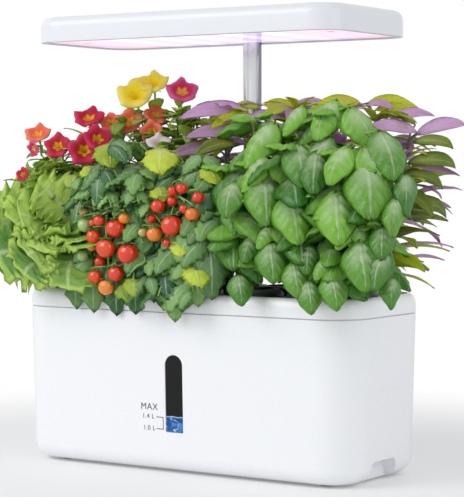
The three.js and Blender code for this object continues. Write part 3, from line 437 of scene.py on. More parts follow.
body_white = moulded_finish("body_white", "f9fafc")
tank_hollow = tub("tank_hollow", foot_rise + floor_thickness, seam + 2, wall, inner_round)
cut_away(
    tank_hollow,
    grip_space(-1, wall),
    grip_space(1, wall),
    window_form("boss", 3.2, -6.2, -1.3),
)
tank_wall = tub("tank_wall", foot_rise, seam, 0, outer_round)
foot_places = [(x, y) for y in (-foot_y, foot_y) for x in (-foot_x, foot_x)]
cut_away(
    tank_wall,
    tank_hollow,
    grip_space(-1, 0),
    grip_space(1, 0),
    window_form("recess", 0.3, -3.5, 3),
    window_form("opening", -2.8, -9, 3),
    *[round_hole(x, y, foot_socket, 0, socket_top) for x, y in foot_places],
)
dressed(softened(tank_wall, 0.5), body_white)
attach(tank_wall, "tank")
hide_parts("tank_shell")


# Level window. A pane of smoked glossy plastic set into the front wall on a rubber gasket. The water
# stands in its lower end, and the filling marks are printed in black on the wall beside it.

def water_finish():
    """Smoked plastic above, and below the water line the blue of moving water with painted pale glints and a
    painted bright band just under its surface.
    """
    water_line = 46.5 * mm
    wave = 9 * mm
    paint = material("smoked_window")
    height = paint.place("Z")
    sway = (paint.noise(70, 1) - 0.5) * wave
    under = paint.eased(height + sway, water_line - 0.4 * mm, water_line + 0.2 * mm, 1, 0)
    # Painted highlight: a pale band just under the water line, and pale glints in the water below it.
    rim = paint.eased(height + sway, water_line - 1.6 * mm, water_line - 0.5 * mm)
    swirl = paint.noise(120, 2, (1, 1, 1.5))
    deep = paint.mixed(paint.eased(swirl, 0.36, 0.6), shade("1b4c8c"), shade("4a8ad2"))
    painted_glints = paint.eased(abs(paint.noise(105, 1, (1, 1, 1.9)) - 0.5), 0, 0.035, 0.95, 0)
    water = paint.mixed(painted_glints.or_more(rim * 0.7), deep, shade("cfe4f8"))
    smoke = paint.mixed(paint.noise(60), shade("060606"), shade("0e0e0d"))
    tone = paint.mixed(under, smoke, water)
    return paint.shown(paint.gloss(base_color=tone, roughness=0.3, specular_ior_level=0.25))


level_pane = window_form("level_pane", 0, -2.3, -0.3)
dressed(softened(level_pane, 0.45, 3), water_finish())
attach(level_pane, "tank")
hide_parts("level_window")


def rubber_finish(name, colour):
    """Moulded rubber, matt and a little dusty."""
    paint = material(name)
    dust = paint.noise(420, 4)
    tone = paint.mixed(dust, shade(colour), scaled(colour, 1.5))
    normal = paint.relief(dust, 0.00006)
    return paint.shown(paint.gloss(base_color=tone, roughness=0.85, normal=normal))


dark_rubber = rubber_finish("dark_rubber", "3b3c3f")
dressed_node("window_gasket", dark_rubber)
for foot in ("foot_front_left", "foot_front_right", "foot_rear_left", "foot_rear_right"):
    dressed_node(foot, dark_rubber, 0.4)


def speckled_finish(name, low, high, scale, detail=3, stretch=(1, 1, 1), **gloss):
    """Two tones mixed in fine soft spots, so many to the metre."""
    paint = material(name)
    tone = paint.mixed(paint.noise(scale, detail, stretch), shade(low), shade(high))
    return paint.shown(paint.gloss(base_color=tone, **gloss))


def printed(words, left, foot, height):
    """Generic words of the filling scale, as points and faces in the window's own axes."""
    text = bpy.data.curves.new("words", "FONT")
    text.body = words
    text.size = height * mm
    text.extrude = 0.03 * mm
    text.space_character = 1.1
    letters = placed("words", text)
    mesh = worked_mesh(letters)
    place = Matrix.Translation((left * mm, foot * mm, 0))
    points = [place @ corner.co / mm for corner in mesh.vertices]
    faces = [tuple(face.vertices) for face in mesh.polygons]
    bpy.data.objects.remove(letters)
    return points, faces


def scale_marks():
    """The word and the two volumes, with a bracket that joins their levels."""
    points, faces = [], []
    ink_low, ink_high, ink_lift = -0.02, 0.04, 0.06

    def added(new_points, new_faces):
        base = len(points)
        points.extend(new_points)
        faces.extend(tuple(base + k for k in face) for face in new_faces)

    def bar(x0, x1, y0, y1):
        outline = ((x0, y0), (x1, y0), (x1, y1), (x0, y1))
        corners = [Vector((x, y, z)) for z in (ink_low, ink_high) for x, y in outline]
        sides = [(k, (k + 1) % 4, 4 + (k + 1) % 4, 4 + k) for k in range(4)]
        added(corners, [(3, 2, 1, 0), (4, 5, 6, 7), *sides])

    added(*printed("MAX", -32.4, 16.6, 7.4))
    added(*printed("1.4 L", -31, 9.6, 5.4))
    added(*printed("1.0 L", -30.2, 0.2, 5.4))
    bar(-17.2, -10.4, 10.8, 11.4)
    bar(-17.2, -10.4, 1.4, 2)
    bar(-10.9, -10.3, 1.4, 11.4)
    lift = window_place() @ Matrix.Translation((0, 0, ink_lift))
    return made("scale_marks", [lift @ point for point in points], faces)


worn_ink = speckled_finish("printed_ink", "17181b", "33353a", 700, 4, roughness=0.5)
marks = dressed(scale_marks(), worn_ink)
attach(marks, "tank")


# Water pump. A small black pump with a slotted intake stands on a rubber pad on the tank floor. Its
# grey magnet rotor turns behind the cover, and a soft tube leads up to the deck.

pump_black = moulded_finish("pump_black", "26282c", 0.4)
dressed_node("pump_pad", dark_rubber, 0.3)
dressed_node("pump_body", pump_black, 0.5)
dressed_node("pump_cover", pump_black, 0.3)
dressed_node("pump_rotor", moulded_finish("rotor_grey", "9a9ca2", 0.35), 0.2)
dressed_node("outlet_tube", moulded_finish("tube_grey", "c4c7cc", 0.3))


# Planting deck. Moulded in the same white plastic with a rim that is rounded outwards and a lip that
# drops into the tank. A thin step under the rim draws the dark line between the two.

rim_top = seam + 15.5
bed_level = rim_top - 3
bed_underside = bed_level - 2.5
lip_bottom = seam - 6
lip_inset = wall + lean_at(lip_bottom) + 0.5
hollow_inset = lip_inset + 2
overlap = 0.4
pod_pitch, front_row_y, row_pitch = 57, -34.5, 49
pod_places = [
    ((column - 2) * pod_pitch, front_row_y + row * row_pitch) for row in range(2) for column in range(5)
]
pod_hole, pole_play = 19.3, 2.1
pole_y, pole_half_depth = 50.5, 5
flap_middle, flap_half, flap_hinge_y, flap_hinge_z = -85.5, 22, 56.2, 143.1
button_xs, button_y, button_hole = (54, 76), 50, 5.8
inlet_x, inlet_z, inlet_radius = 94, 133.8, 4.4
pocket_left, pocket_right, pocket_front, pocket_depth, pocket_wall = 40, 104, 41, 14, 1.8


def stadium(grow):
    """The pole's section, grown all round, as a flat outline."""
    radius = pole_half_depth + grow
    reach = 3.25
    return arc((reach, pole_y), radius, -1, 1, 20) + arc((-reach, pole_y), radius, 1, 3, 20)


def rounded_rim():
    """The rim from the thin step on the seam to its edge, rounded outwards."""
    step_inset, step_height, rounding, top_inset = 2.2, 0.9, 9, 5
    step_rings = ((0, step_inset), (step_height, step_inset), (step_height, 0))
    rings = [body_ring(seam + height, inset) for height, inset in step_rings]
    rings += [body_ring(rim_top - rounding * drop, top_inset * pull) for drop, pull in quarter_round(9)]
    return lofted("deck_rim", rings)


def hinge_lug(side):
    """An upright cheek with a round top that holds one end of the flap's pin."""
    radius, thickness, play = 2.6, 2.4, 0.3
    outline = [(flap_hinge_y + end, bed_level - overlap) for end in (-radius, radius)]
    outline += arc((flap_hinge_y, flap_hinge_z), radius, 0, 2)
    start = flap_middle + (flap_half + play if side > 0 else -flap_half - play - thickness)
    along_x = Matrix(((0, 0, 1, 0), (1, 0, 0, 0), (0, 1, 0, 0), (0, 0, 0, 1)))
    return extruded("lug", outline, start, start + thickness, along_x)


def fill_hole():
    tool = lofted("fill_hole", [ring(19, 6, 3, z) for z in (120, 150)])
    tool.location = Vector((flap_middle, 47, 0)) * mm
    return tool


def inlet_hole(back):
    """The round hole for the inlet, through the back of the rim."""
    tool = round_hole(0, 0, inlet_radius, -8, 8)
    tool.rotation_euler.x = math.pi / 2
    tool.location = Vector((inlet_x, back + 4, inlet_z)) * mm
    return tool


def pocket_form(name, back, inset, below, beyond):
    """The pocket under the deck in which the board lies, or the space inside it."""
    low = (pocket_left + inset, pocket_front + inset, bed_underside - pocket_depth - below)
    return boxed(name, low, (pocket_right - inset, back + beyond, bed_underside + beyond))


def planting_deck():
    """Rim and lip, hollowed out, with ribs and the board's pocket below, hinge lugs above and all holes."""
    deck = rounded_rim()
    joined(deck, lofted("lip", [body_ring(z, lip_inset) for z in (lip_bottom, seam + overlap)]))
    hollow = lofted("hollow", [body_ring(z, hollow_inset) for z in (lip_bottom - 2, bed_underside)])
    bed = lofted("bed", [body_ring(z, 6.4) for z in (bed_level, rim_top + 2)])
    cut_away(deck, hollow, bed)
    back = body_depth / 2 - hollow_inset
    rib_half, rib_height, rib_back = 0.9, 7, 33.8
    ribs = []
    for gap in range(-2, 2):
        x = (gap + 0.5) * pod_pitch
        low = (x - rib_half, -back - overlap, bed_underside - rib_height)
        ribs.append(boxed("rib", low, (x + rib_half, rib_back, bed_underside + overlap)))
    pocket = pocket_form("pocket", back, 0, 0, overlap)
    joined(deck, *ribs, pocket, hinge_lug(-1), hinge_lug(1))
    cut_away(
        deck,
        pocket_form("pocket_space", back, pocket_wall, 2, 0),
        inlet_hole(back),
        extruded("pole_hole", stadium(pole_play), 120, 150),
        *[round_hole(x, button_y, button_hole) for x in button_xs],
        fill_hole(),
        *[round_hole(x, y, pod_hole, steps=14) for x, y in pod_places],
    )
    return deck


deck = dressed(softened(planting_deck(), 0.4), body_white)
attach(deck, "deck")
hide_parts("deck")


# Fill flap, buttons and inlet. The flap tips up on a pin over the filling opening. Two grey keys press
# the switches of a small board, which lies in a covered pocket beside the low-voltage inlet.

button_grey = moulded_finish("button_grey", "b4b7bd", 0.32)
inlet_black = moulded_finish("inlet_black", "1f2022", 0.35)


def board_finish():
    """Green lacquered board with fine copper tracks under the lacquer."""
    paint = material("control_board_green")
    grid = {"Vector": paint.place(), "Scale": 160, "Mortar Size": 0.03}
    tracks = paint.node("TexBrick", sockets=grid, out=1)
    tone = paint.mixed(tracks, shade("1f5c3a"), shade("2f7f52"))
    return paint.shown(paint.gloss(base_color=tone, roughness=0.3, coat_weight=0.5))


dressed_node("fill_flap", body_white, 0.5)
dressed_node("button_light", button_grey, 0.25)
dressed_node("button_pump", button_grey, 0.25)
dressed_node("control_board", board_finish())
dressed_node("board_cover", body_white, 0.3)
dressed_node("power_inlet", inlet_black, 0.15)


# Pole with its sleeve, collar and bush. A polished steel tube of oval section, grooved down its front
# and back. It slides through a grey collar and a rubber bush into a closed sleeve under the deck.

def polished_finish():
    """Polished steel with fine lengthwise drawing lines, and painted dark reflections round the tube's narrow
    sides.
    """
    paint = material("polished_steel")
    lines = paint.noise(900, 2, (1, 1, 0.01))
    aside = abs(paint.place("X"))
    # Painted reflection: the colour turns dark towards the tube's narrow sides, standing in for what the
    # polished metal mirrors there.
    painted_dark_sides = paint.eased(aside, 5.4 * mm, 8 * mm)
    tone = paint.mixed(lines, shade("bfc1c5"), shade("dadbde"))
    tone = paint.mixed(painted_dark_sides * 0.75, tone, shade("55585d"))
    rough = paint.eased(lines, 0.3, 0.7, 0.1, 0.2)
    normal = paint.relief(lines, 0.00001)
    return paint.shown(paint.gloss(base_color=tone, metallic=1, roughness=rough, normal=normal))


def grooved_tube():
    """The hollow tube with its two shallow grooves."""
    low, high = 107, 357.1
    thickness, groove_half, groove_depth = 1.3, 1.5, 0.7
    front, back = pole_y - pole_half_depth, pole_y + pole_half_depth
    tube = extruded("pole", stadium(0), low, high)
    cut_away(
        tube,
        extruded("bore", stadium(-thickness), low - 2, high + 2),
        boxed("groove", (-groove_half, front - 2, low - 2), (groove_half, front + groove_depth, high + 2)),
        boxed("groove", (-groove_half, back - groove_depth, low - 2), (groove_half, back + 2, high + 2)),
    )
    return softened(tube, 0.25)


pole = dressed(grooved_tube(), polished_finish())
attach(pole, "lamp")
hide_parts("pole")
dressed_node("pole_sleeve", button_grey)
dressed_node("friction_bush", dark_rubber)

collar_ring = extruded("collar_ring", stadium(4.5), bed_level, bed_level + 5)
cut_away(
    collar_ring,
    extruded("bore", stadium(pole_play), bed_level - 2, bed_level + 8),
    boxed("rim_side", (-40, 58.3, bed_level - 2), (40, 80, bed_level + 8)),
)
dressed(softened(collar_ring, 0.9, 3), button_grey)
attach(collar_ring, "deck")
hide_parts("pole_collar")


# Lamp. A shallow tray of white plastic turned over, with a narrow edge frame and a clear glossy panel
# over the board with its light emitters. Two screws hold the panel, and a clamp takes the pole.

lamp_foot, lamp_height, lamp_wall, lamp_round = 346, 21, 2.2, 8
lamp_half_x, lamp_half_y, lamp_corner, lamp_middle = 146.5, 62.5, 25, -1
lamp_white = moulded_finish("lamp_white", "e7e9ed", 0.3)


def lamp_ring(z, inset):
    return ring(lamp_half_x - inset, lamp_half_y - inset, lamp_corner - inset, z, lamp_middle)


def tray(name, low, high, inset, rounding):
    """The lamp's form with a rounded top edge, used for its outside and for its hollow."""
    rings = [lamp_ring(high - rounding * drop, inset + rounding * pull) for drop, pull in quarter_round()]
    return lofted(name, [lamp_ring(low, inset), *rings])


def plate(name, low, high, inset):
    return lofted(name, [lamp_ring(low, inset), lamp_ring(high, inset)])


def pole_notch():
    """The room that the pole takes at the lamp's back edge."""
    return extruded("notch", stadium(0.5), lamp_foot - 2, lamp_foot + 5)


lamp_top = lamp_foot + lamp_height
lamp_shell = tray("lamp_shell", lamp_foot, lamp_top, 0, lamp_round)
lamp_hollow = tray("lamp_hollow", lamp_foot - 2, lamp_top - lamp_wall, lamp_wall, lamp_round - lamp_wall)
cut_away(lamp_shell, lamp_hollow)
dressed(softened(lamp_shell, 0.5), lamp_white)
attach(lamp_shell, "lamp")
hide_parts("lamp_housing")

edge_grey = moulded_finish("lamp_edge", "d3d5da", 0.3)
edge_frame = plate("edge_frame", lamp_foot, lamp_foot + 3, 2.5)
cut_away(
    edge_frame,
    plate("inner", lamp_foot - 2, lamp_foot + 5, 6.5),
    plate("ledge", lamp_foot + 1.2, lamp_foot + 5, 5),
    pole_notch(),
)
dressed(softened(edge_frame, 0.3), edge_grey)
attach(edge_frame, "lamp")
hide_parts("lamp_frame")


def lit_finish():
    """The lit panel: white over the emitters, lavender between them and pink towards both ends."""
    emitter_pitch = 36 * mm
    paint = material("lit_panel")
    x, y = paint.place("X"), paint.place("Y")
    over = paint.eased((x * (2 * math.pi / emitter_pitch)).cosine(), -0.6, 0.9)
    aside = paint.eased(abs(y + 1 * mm), 24 * mm, 56 * mm)
    tone = paint.mixed(over, shade("d9b8f0"), shade("f6e6fa"))
    ends = paint.eased(abs(x), 84 * mm, 108 * mm) * paint.eased(abs(x), 120 * mm, 138 * mm, 1, 0.3)
    tone = paint.mixed(ends * 0.85, tone, shade("ffa9bf"))
    tone = paint.mixed(aside * 0.35, tone, shade("e6dff0"))
    return paint.shown(paint.gloss(
        base_color=shade("6e6874"), roughness=0.12, specular_ior_level=0.3, emission_color=tone,
        emission_strength=0.78,
    ))


panel_inset, panel_low, board_low = 5.3, lamp_foot + 1.2, lamp_foot + 8
screw_xs, screw_y = (-118, 118), -21
panel = plate("panel", panel_low, panel_low + 2, panel_inset)
joined(panel, *[round_hole(x, screw_y, 3.1, panel_low + 1.6, board_low) for x in screw_xs])
cut_away(
    panel,
    pole_notch(),
    *[round_hole(x, screw_y, 1.7, lamp_foot - 2, board_low + 2) for x in screw_xs],
    *[round_hole(x, screw_y, 3.3, lamp_foot - 2, panel_low + 1) for x in screw_xs],
)
dressed(softened(panel, 0.2), lit_finish())
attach(panel, "lamp")
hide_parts("lamp_panel")

screw_steel = speckled_finish("screw_steel", "8f9298", "b9bcc1", 1200, metallic=1, roughness=0.3)
dressed_node("panel_screw_left", screw_steel, 0.2)
dressed_node("panel_screw_right", screw_steel, 0.2)
dressed_node("lamp_clamp", pump_black, 0.2)
dressed_node("led_board", moulded_finish("board_white", "f2f2ee", 0.5))


# Baskets. Ten net cups of black plastic hang in the deck by domed collars. Tall slots let the roots out
# into the water, and a brown foam plug with the seedling fills each one.

def turned(name, profile, steps=48):
    """A closed body turned about its upright axis from radius and height pairs."""
    rings = []
    for radius, z in profile:
        angles = [2 * math.pi * k / steps for k in range(steps)]
        rings.append([(radius * math.cos(a), radius * math.sin(a), z) for a in angles])
    return lofted(name, rings)


def net_basket():
    """One basket from its top face on the deck, its slots and drain cut through."""
    collar, mouth, lip, dome = 23.5, 16.6, 2.2, 5.3
    outside = [(13.5, -40), (18.8, 0), (collar, 0)]
    outside += [(collar - (collar - mouth) * pull, lip + dome * (1 - drop)) for drop, pull in quarter_round()]
    basket = turned("net_basket", outside)
    inside = turned("inside", [(11.9, -38.4), (17.2, 0), (mouth, 7.5), (mouth, 9)])
    slots = [boxed("slot", (-21, -2.7, -31), (21, 2.7, -9)) for _ in range(3)]
    for k, slot in enumerate(slots):
        slot.rotation_euler.z = math.pi * (k / 3 + 1 / 12)
    cut_away(basket, inside, *slots, boxed("drain", (-8, -1.7, -42), (8, 1.7, -37)))
    return softened(basket, 0.4, 2, 30)


def basket_finish():
    """Charcoal plastic with a fine spark-eroded grain, and a patchy painted highlight on the top of the
    collar.
    """
    paint = material("basket_charcoal")
    grain = paint.noise(1500, 3)
    # Painted highlight: the collar's top is painted paler in patches, where the light catches it.
    painted_top_highlight = paint.eased(paint.place("Z"), 4 * mm, 7.4 * mm) * paint.eased(paint.noise(55), 0.3, 0.6)
    tone = paint.mixed(grain, shade("33353a"), shade("45474d"))
    tone = paint.mixed(painted_top_highlight * 0.6, tone, shade("8e9096"))
    normal = paint.relief(grain, 0.00003)
    return paint.shown(paint.gloss(base_color=tone, roughness=0.42, normal=normal))


def foam_finish():
    """Brown open foam, with painted shade darkening its pores."""
    paint = material("growing_foam")
    pores = paint.node("TexVoronoi", sockets={"Vector": paint.place(), "Scale": 700})
    # Painted shade: each pore is painted dark towards its middle, where shade falls inside it. The same mask
    # also drives the bump.
    depth = paint.eased(pores, 0, 0.45)
    tone = paint.mixed(depth, shade("1d1611"), shade("5d4733"))
    return paint.shown(paint.gloss(base_color=tone, roughness=0.95, normal=paint.relief(depth, 0.0004)))


def foam_plug():
    """One plug: bulged sides, a domed top and a cross cut for the seedling."""
    sides = [(11.2, -38.1), (13.2, -24), (15.2, -8), (15.8, 1)]
    dome = [(15.6, 3), (14.4, 4.1), (10, 4.5), (3, 4.5)]
    plug = turned("foam_plug", sides + dome, 40)
    cut_away(
        plug,
        boxed("cross", (-9, -0.5, 1.5), (9, 0.5, 6)),
        boxed("cross", (-0.5, -9, 1.2), (0.5, 9, 6.4)),
    )
    return softened(plug, 0.3)


first_basket = dressed(net_basket(), basket_finish())
first_plug = dressed(foam_plug(), foam_finish())
pod_parts = (
    (first_basket, "net_basket", "basket", "basket_plastic"),
    (first_plug, "foam_plug", "sponge", "sponge_foam"),
)
for number, (x, y) in enumerate(pod_places, 1):
    for first, name, solid, slot in pod_parts:
        twin = first.copy()
        twin.name = f"{name}_{number}"
        bpy.context.scene.collection.objects.link(twin)
        twin.location = Vector((x, y, bed_level)) * mm
        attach(twin, f"pod_{number}")
        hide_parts(f"{solid}_{number}")
bpy.data.objects.remove(first_basket)
bpy.data.objects.remove(first_plug)


# Lettuce, at the left end. A low rosette of broad, thin leaves with crisped edges, pale at the foot, partly
# by a painted sheen there, and bright at the edge. Every plant grows from its own foam plug and keeps to its
# place in the crown.

crown_half_x, crown_half_y, crown_low = 200, 86, 124
usual_top, own_tops = 300, {1: 230, 6: 325, 7: 325}
usual_lift, own_lifts = 45, {6: 20, 7: 20}
vein_slant = 0.28
gold = math.pi * (3 - math.sqrt(5))
to_viewer = math.radians(camera_turn - 90)
outwards = Vector((math.cos(to_viewer), math.sin(to_viewer), 0))
across_view = Vector((-outwards.y, outwards.x, 0))


def heading(turn, rise):
    """The direction at a turn about the upright axis and a rise over the level."""
    return Vector((math.cos(turn) * math.cos(rise), math.sin(turn) * math.cos(rise), math.sin(rise)))


def hidden(place, middle, radius):
    """Whether a place lies in front of a round fruit."""
    reach = place - middle
    ahead = reach.dot(outwards)
    return ahead > -radius / 2 and (reach - outwards * ahead).length < radius


def room_of(number):
    """The space of a pod's plant: its sides and its top. Pod 6 leans out over the low lettuce."""
    half_room, rows_meet = 28, -10
    x = pod_places[number - 1][0]
    column = (number - 1) % 5
    low_x = -crown_half_x if column == 0 else x - half_room
    high_x = crown_half_x if column == 4 else x + half_room
    front = number <= 5
    low_y = -crown_half_y if front or column == 0 else rows_meet
    high_y = rows_meet if front else crown_half_y
    return (low_x, high_x), (low_y, high_y), own_tops.get(number, usual_top)


def at_a_fitting(place):
    """Whether a place is low over the deck, at the pole, over the flap or over the buttons."""
    on_deck = abs(place.x) < 162.5 and abs(place.y) < 67.5 and place.z < 150
    at_pole = abs(place.x) < 14 and 40 < place.y < 61
    over_flap = -113 < place.x < -58 and 34 < place.y < 62 and place.z < 172
    over_buttons = 44 < place.x < 86 and 40 < place.y < 60 and place.z < 158
    return on_deck or at_pole or over_flap or over_buttons


class Growth:
    """One plant's stems, leaves, fruits and flowers, gathered into one closed mesh."""

    def __init__(self, number, seed, spread=13):
        self.number = number
        self.points, self.spots, self.faces, self.finishes = [], [], [], []
        self.room = room_of(number)
        self.spread = spread
        self.chance = random.Random(seed)
        x, y = pod_places[number - 1]
        self.foot = Vector((x, y, bed_level + 4))
        self.nodes = [self.foot]
        self.kept_open = []

    def clear(self, place):
        """Whether a point is in the plant's own space, off the deck's fittings and the fruits in front."""
        (low_x, high_x), (low_y, high_y), top = self.room
        slack, most_x, most_y = self.spread, crown_half_x + 6, crown_half_y + 4
        within_x = max(low_x - slack, -most_x) <= place.x <= min(high_x + slack, most_x)
        within_y = max(low_y - slack, -most_y) <= place.y <= min(high_y + slack, most_y)
        if not (within_x and within_y and crown_low <= place.z <= top):
            return False
        if at_a_fitting(place) or self.in_the_way(place):
            return False
        return not any(hidden(place, middle, radius) for middle, radius in self.kept_open)

    def in_the_way(self, place):
        """Whether a point is over another basket, where that basket is lifted out."""
        basket_radius, basket_rise = 24.5, 8
        for number, (x, y) in enumerate(pod_places, 1):
            top = bed_level + basket_rise + own_lifts.get(number, usual_lift)
            over = math.hypot(place.x - x, place.y - y) < basket_radius
            if number != self.number and over and place.z < top:
                return True
        return False

    def between(self, low, high):
        return low + (high - low) * self.chance.random()

    def added(self, place, across, along, tint):
        """A point, eased back smoothly where it reaches out past the crown."""
        most, ease = 10, 12
        held = [place.x, place.y, place.z]
        for axis, reach in ((0, crown_half_x - 2), (1, crown_half_y - 4)):
            past = abs(held[axis]) - reach
            if past > 0:
                held[axis] = math.copysign(reach + most * (1 - math.exp(-past / ease)), held[axis])
        self.points.append(Vector(held))
        self.spots.append((across, along, tint, 1))
        return len(self.points) - 1

    def blade(self, rows, tint, finish, thickness=0.5):
        """A thin closed sheet over rows of points. Its two faces share their outermost points."""
        last, width = len(rows) - 1, len(rows[0]) - 1
        upper, lower = [], []
        for r, row in enumerate(rows):
            upper.append([self.added(*spot, tint) for spot in row])
            lower.append(list(upper[r]))
            if 0 < r < last:
                for c in range(1, width):
                    along = rows[r + 1][c][0] - rows[r - 1][c][0]
                    across = row[c + 1][0] - row[c - 1][0]
                    below = self.points[upper[r][c]] + along.cross(across).normalized() * thickness
                    self.points.append(below)
                    self.spots.append(self.spots[upper[r][c]])
                    lower[r][c] = len(self.points) - 1
        for r in range(last):
            for c in range(width):
                top = (upper[r][c], upper[r + 1][c], upper[r + 1][c + 1], upper[r][c + 1])
                low = (lower[r][c], lower[r][c + 1], lower[r + 1][c + 1], lower[r + 1][c])
                self.faces += [top, low]
                self.finishes += [finish, finish]

    def stem(self, path, thick, thin, tint=0.5, sides=6):
        """A round tapering stem along a path, closed at both ends, in the plant's second finish."""
        rings = []
        for k, place in enumerate(path):
            ahead = (path[min(k + 1, len(path) - 1)] - path[max(k - 1, 0)]).normalized()
            side = ahead.cross(Vector((0.3, 0.2, 1))).normalized()
            other = ahead.cross(side)
            share = k / (len(path) - 1)
            radius = thick + (thin - thick) * share
            angles = [2 * math.pi * n / sides for n in range(sides)]
            around = [place + (side * math.cos(a) + other * math.sin(a)) * radius for a in angles]
            rings.append([self.added(point, 0.5, share, tint) for point in around])
        self.skin(rings, 1)

    def skin(self, rings, finish):
        """Faces between rings of points, and over both ends."""
        count = len(rings[0])
        for low, high in zip(rings, rings[1:]):
            for n in range(count):
                after = (n + 1) % count
                self.faces.append((low[n], low[after], high[after], high[n]))
        self.faces += [tuple(reversed(rings[0])), tuple(rings[-1])]
        self.finishes += [finish] * (count * (len(rings) - 1) + 2)

    def leaf(self, start, turn, rise, form, size, tint, roll=0, finish=0):
        """A leaf on its stalk, as large as it has room for, and whether it has any."""
        phase = self.between(0, 2 * math.pi)
        for fit in (1, 0.8, 0.62):
            foot = start + heading(turn, rise) * form["stalk"] * size * fit
            rows = leaf_rows(foot, turn, rise, form, size * fit, roll, phase)
            edge = [row[k][0] for row in rows for k in (0, len(row) // 2, -1)]
            if all(self.clear(place) for place in edge):
                self.blade(rows, tint, finish)
                if form["stalk"]:
                    joint = rows[1][len(rows[1]) // 2][0]
                    self.stem([start, start.lerp(foot, 0.5), joint], 0.8 * size, 0.5 * size, tint)
                return True
        return False

    def hung(self, foot, lean, size, form, tint, finish=0, rise=-0.25, facing=0.5):
        """A leaf at a place in front, on a long stalk from the nearest stem, that leans left or right."""
        foot = Vector(foot)
        node = min(self.nodes, key=lambda place: (place - foot).length + max(0, place.z - foot.z))
        middle = node.lerp(foot, 0.55) + Vector((0, 0, 0.2 * (node - foot).length))
        self.stem([node, middle, foot], 1.1, 0.7, tint, sides=5)
        turn = to_viewer + math.radians(lean)
        roll = facing * math.sin(math.radians(lean))
        self.blade(leaf_rows(foot, turn, rise, form, size, roll, self.between(0, 6)), tint, finish)

    def grown(self, name, finishes):
        """The plant as a piece on its pod."""
        mesh = bpy.data.meshes.new(name)
        mesh.from_pydata([point * mm for point in self.points], [], self.faces)
        for finish in finishes:
            mesh.materials.append(finish)
        mesh.polygons.foreach_set("material_index", self.finishes)
        mesh.shade_smooth()
        spots = mesh.color_attributes.new(name="spot", type="FLOAT_COLOR", domain="POINT")
        spots.data.foreach_set("color", [value for spot in self.spots for value in spot])
        plant = placed(name, mesh)
        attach(plant, f"pod_{self.number}")
        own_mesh(plant)
        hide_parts(f"plant_{self.number}")
        return plant


def leaf_rows(foot, turn, rise, form, size, roll, phase):
    """The rows of a leaf's blade from its foot to its tip, each a list of point, across and along."""
    length, half = form["length"] * size, form["width"] * size / 2
    forward = Vector((math.cos(turn), math.sin(turn), 0))
    level = Vector((-math.sin(turn), math.cos(turn), 0))
    upright = Vector((0, 0, 1))
    centre = foot.copy()
    rows = []
    for r in range(form["rows"] + 1):
        along = r / form["rows"]
        angle = rise - form["bend"] * along ** 1.3
        ahead = forward * math.cos(angle) + upright * math.sin(angle)
        above = upright * math.cos(angle) - forward * math.sin(angle)
        side = level * math.cos(roll) + above * math.sin(roll)
        above = above * math.cos(roll) - level * math.sin(roll)
        if r:
            centre = centre + ahead * (length / form["rows"])
        reach = half * form["outline"](along)
        if r % 2 and r < form["rows"]:
            reach *= 1 + form["teeth"]
        row = []
        for c in range(-form["columns"], form["columns"] + 1):
            across = c / form["columns"]
            rib = math.sin(math.pi * form["veins"] * (along - vein_slant * abs(across)))
            crisp = math.sin(2 * math.pi * form["waves"] * along + phase + 2 * across)
            crisp += 0.5 * math.sin(2 * math.pi * form["waves"] * 1.7 * along - phase + across)
            lift = form["cup"] * abs(across) ** 1.6 * reach
            lift += form["quilt"] * size * rib ** 2 * (1 - across ** 4) * min(1, 8 * abs(across))
            lift += form["crisp"] * size * abs(across) ** 4 * crisp
            row.append((centre + side * across * reach + above * lift, across / 2 + 0.5, along))
        rows.append(row)
    return rows


def spot_parts(paint, *parts):
    """What is stored at each point of a plant: 0 is across a blade, 1 along it, 2 its age or ripeness."""
    spot = paint.node("Attribute", {"attribute_name": "spot"}, out="Color")
    return [paint.node("SeparateColor", sockets={0: spot}, out=part) for part in parts]


def lit_through(paint, face, glow, share):
    """A face mixed with the light that comes through from its other side."""
    through = paint.node("BsdfTranslucent", sockets={"Color": shade(glow)})
    return paint.shown(paint.node("MixShader", sockets={0: share, 1: face, 2: through}))


def leaf_finish(name, deep, fresh, rib, glow, veins=5, roughness=0.42, rib_share=0.45, painted_sheen_share=0.2, edge=0):
    """A living leaf: two greens by age, paler ribs, a painted sheen over the middle of the blade, and light
    that comes through.
    """
    paint = material(name)
    across, along, age = spot_parts(paint, 0, 1, 2)
    outward = abs(across - 0.5) * 2
    middle = paint.eased(outward, 0.02, 0.12, 1, 0)
    slant = (along - outward * vein_slant) * (veins * math.pi)
    branches = paint.eased(abs(slant.sine()), 0, 0.26, 1, 0) * paint.eased(outward, 0.7, 1, 1, 0)
    ribs = middle.or_more(branches * 0.6)
    clouds = paint.noise(70, 3)
    rim = paint.eased(outward, 0.5, 1).or_more(paint.eased(along, 0.8, 1)) * edge
    tone = paint.mixed((age * 0.8 + clouds * 0.4 - 0.1).or_more(rim), shade(deep), shade(fresh))
    # Painted highlight: a pale patch over the middle of the blade, in the ribs' pale colour, stands in for
    # the lamp's gloss on the leaf.
    painted_sheen = paint.eased(along, 0.02, 0.2) * paint.eased(along, 0.25, 0.7, 1, 0)
    painted_sheen = paint.eased(outward, 0.1, 0.8, 1, 0) * painted_sheen
    tone = paint.mixed(painted_sheen * painted_sheen_share, tone, shade(rib))
    tone = paint.mixed(ribs * rib_share, tone, shade(rib))
    normal = paint.relief(1 - ribs * 0.7 + clouds * 0.3, 0.0006)
    face = paint.gloss(base_color=tone, roughness=roughness, normal=normal)
    return lit_through(paint, face, glow, 0.32)


def lettuce_outline(along):
    """Broadest beyond its middle, with a wavy edge."""
    broad = 0.1 + 0.9 * math.sin(math.pi * min(1, along ** 1.5 * 0.88)) ** 0.6
    return broad * (1 + 0.1 * math.sin(along * 31) + 0.07 * math.sin(along * 57))


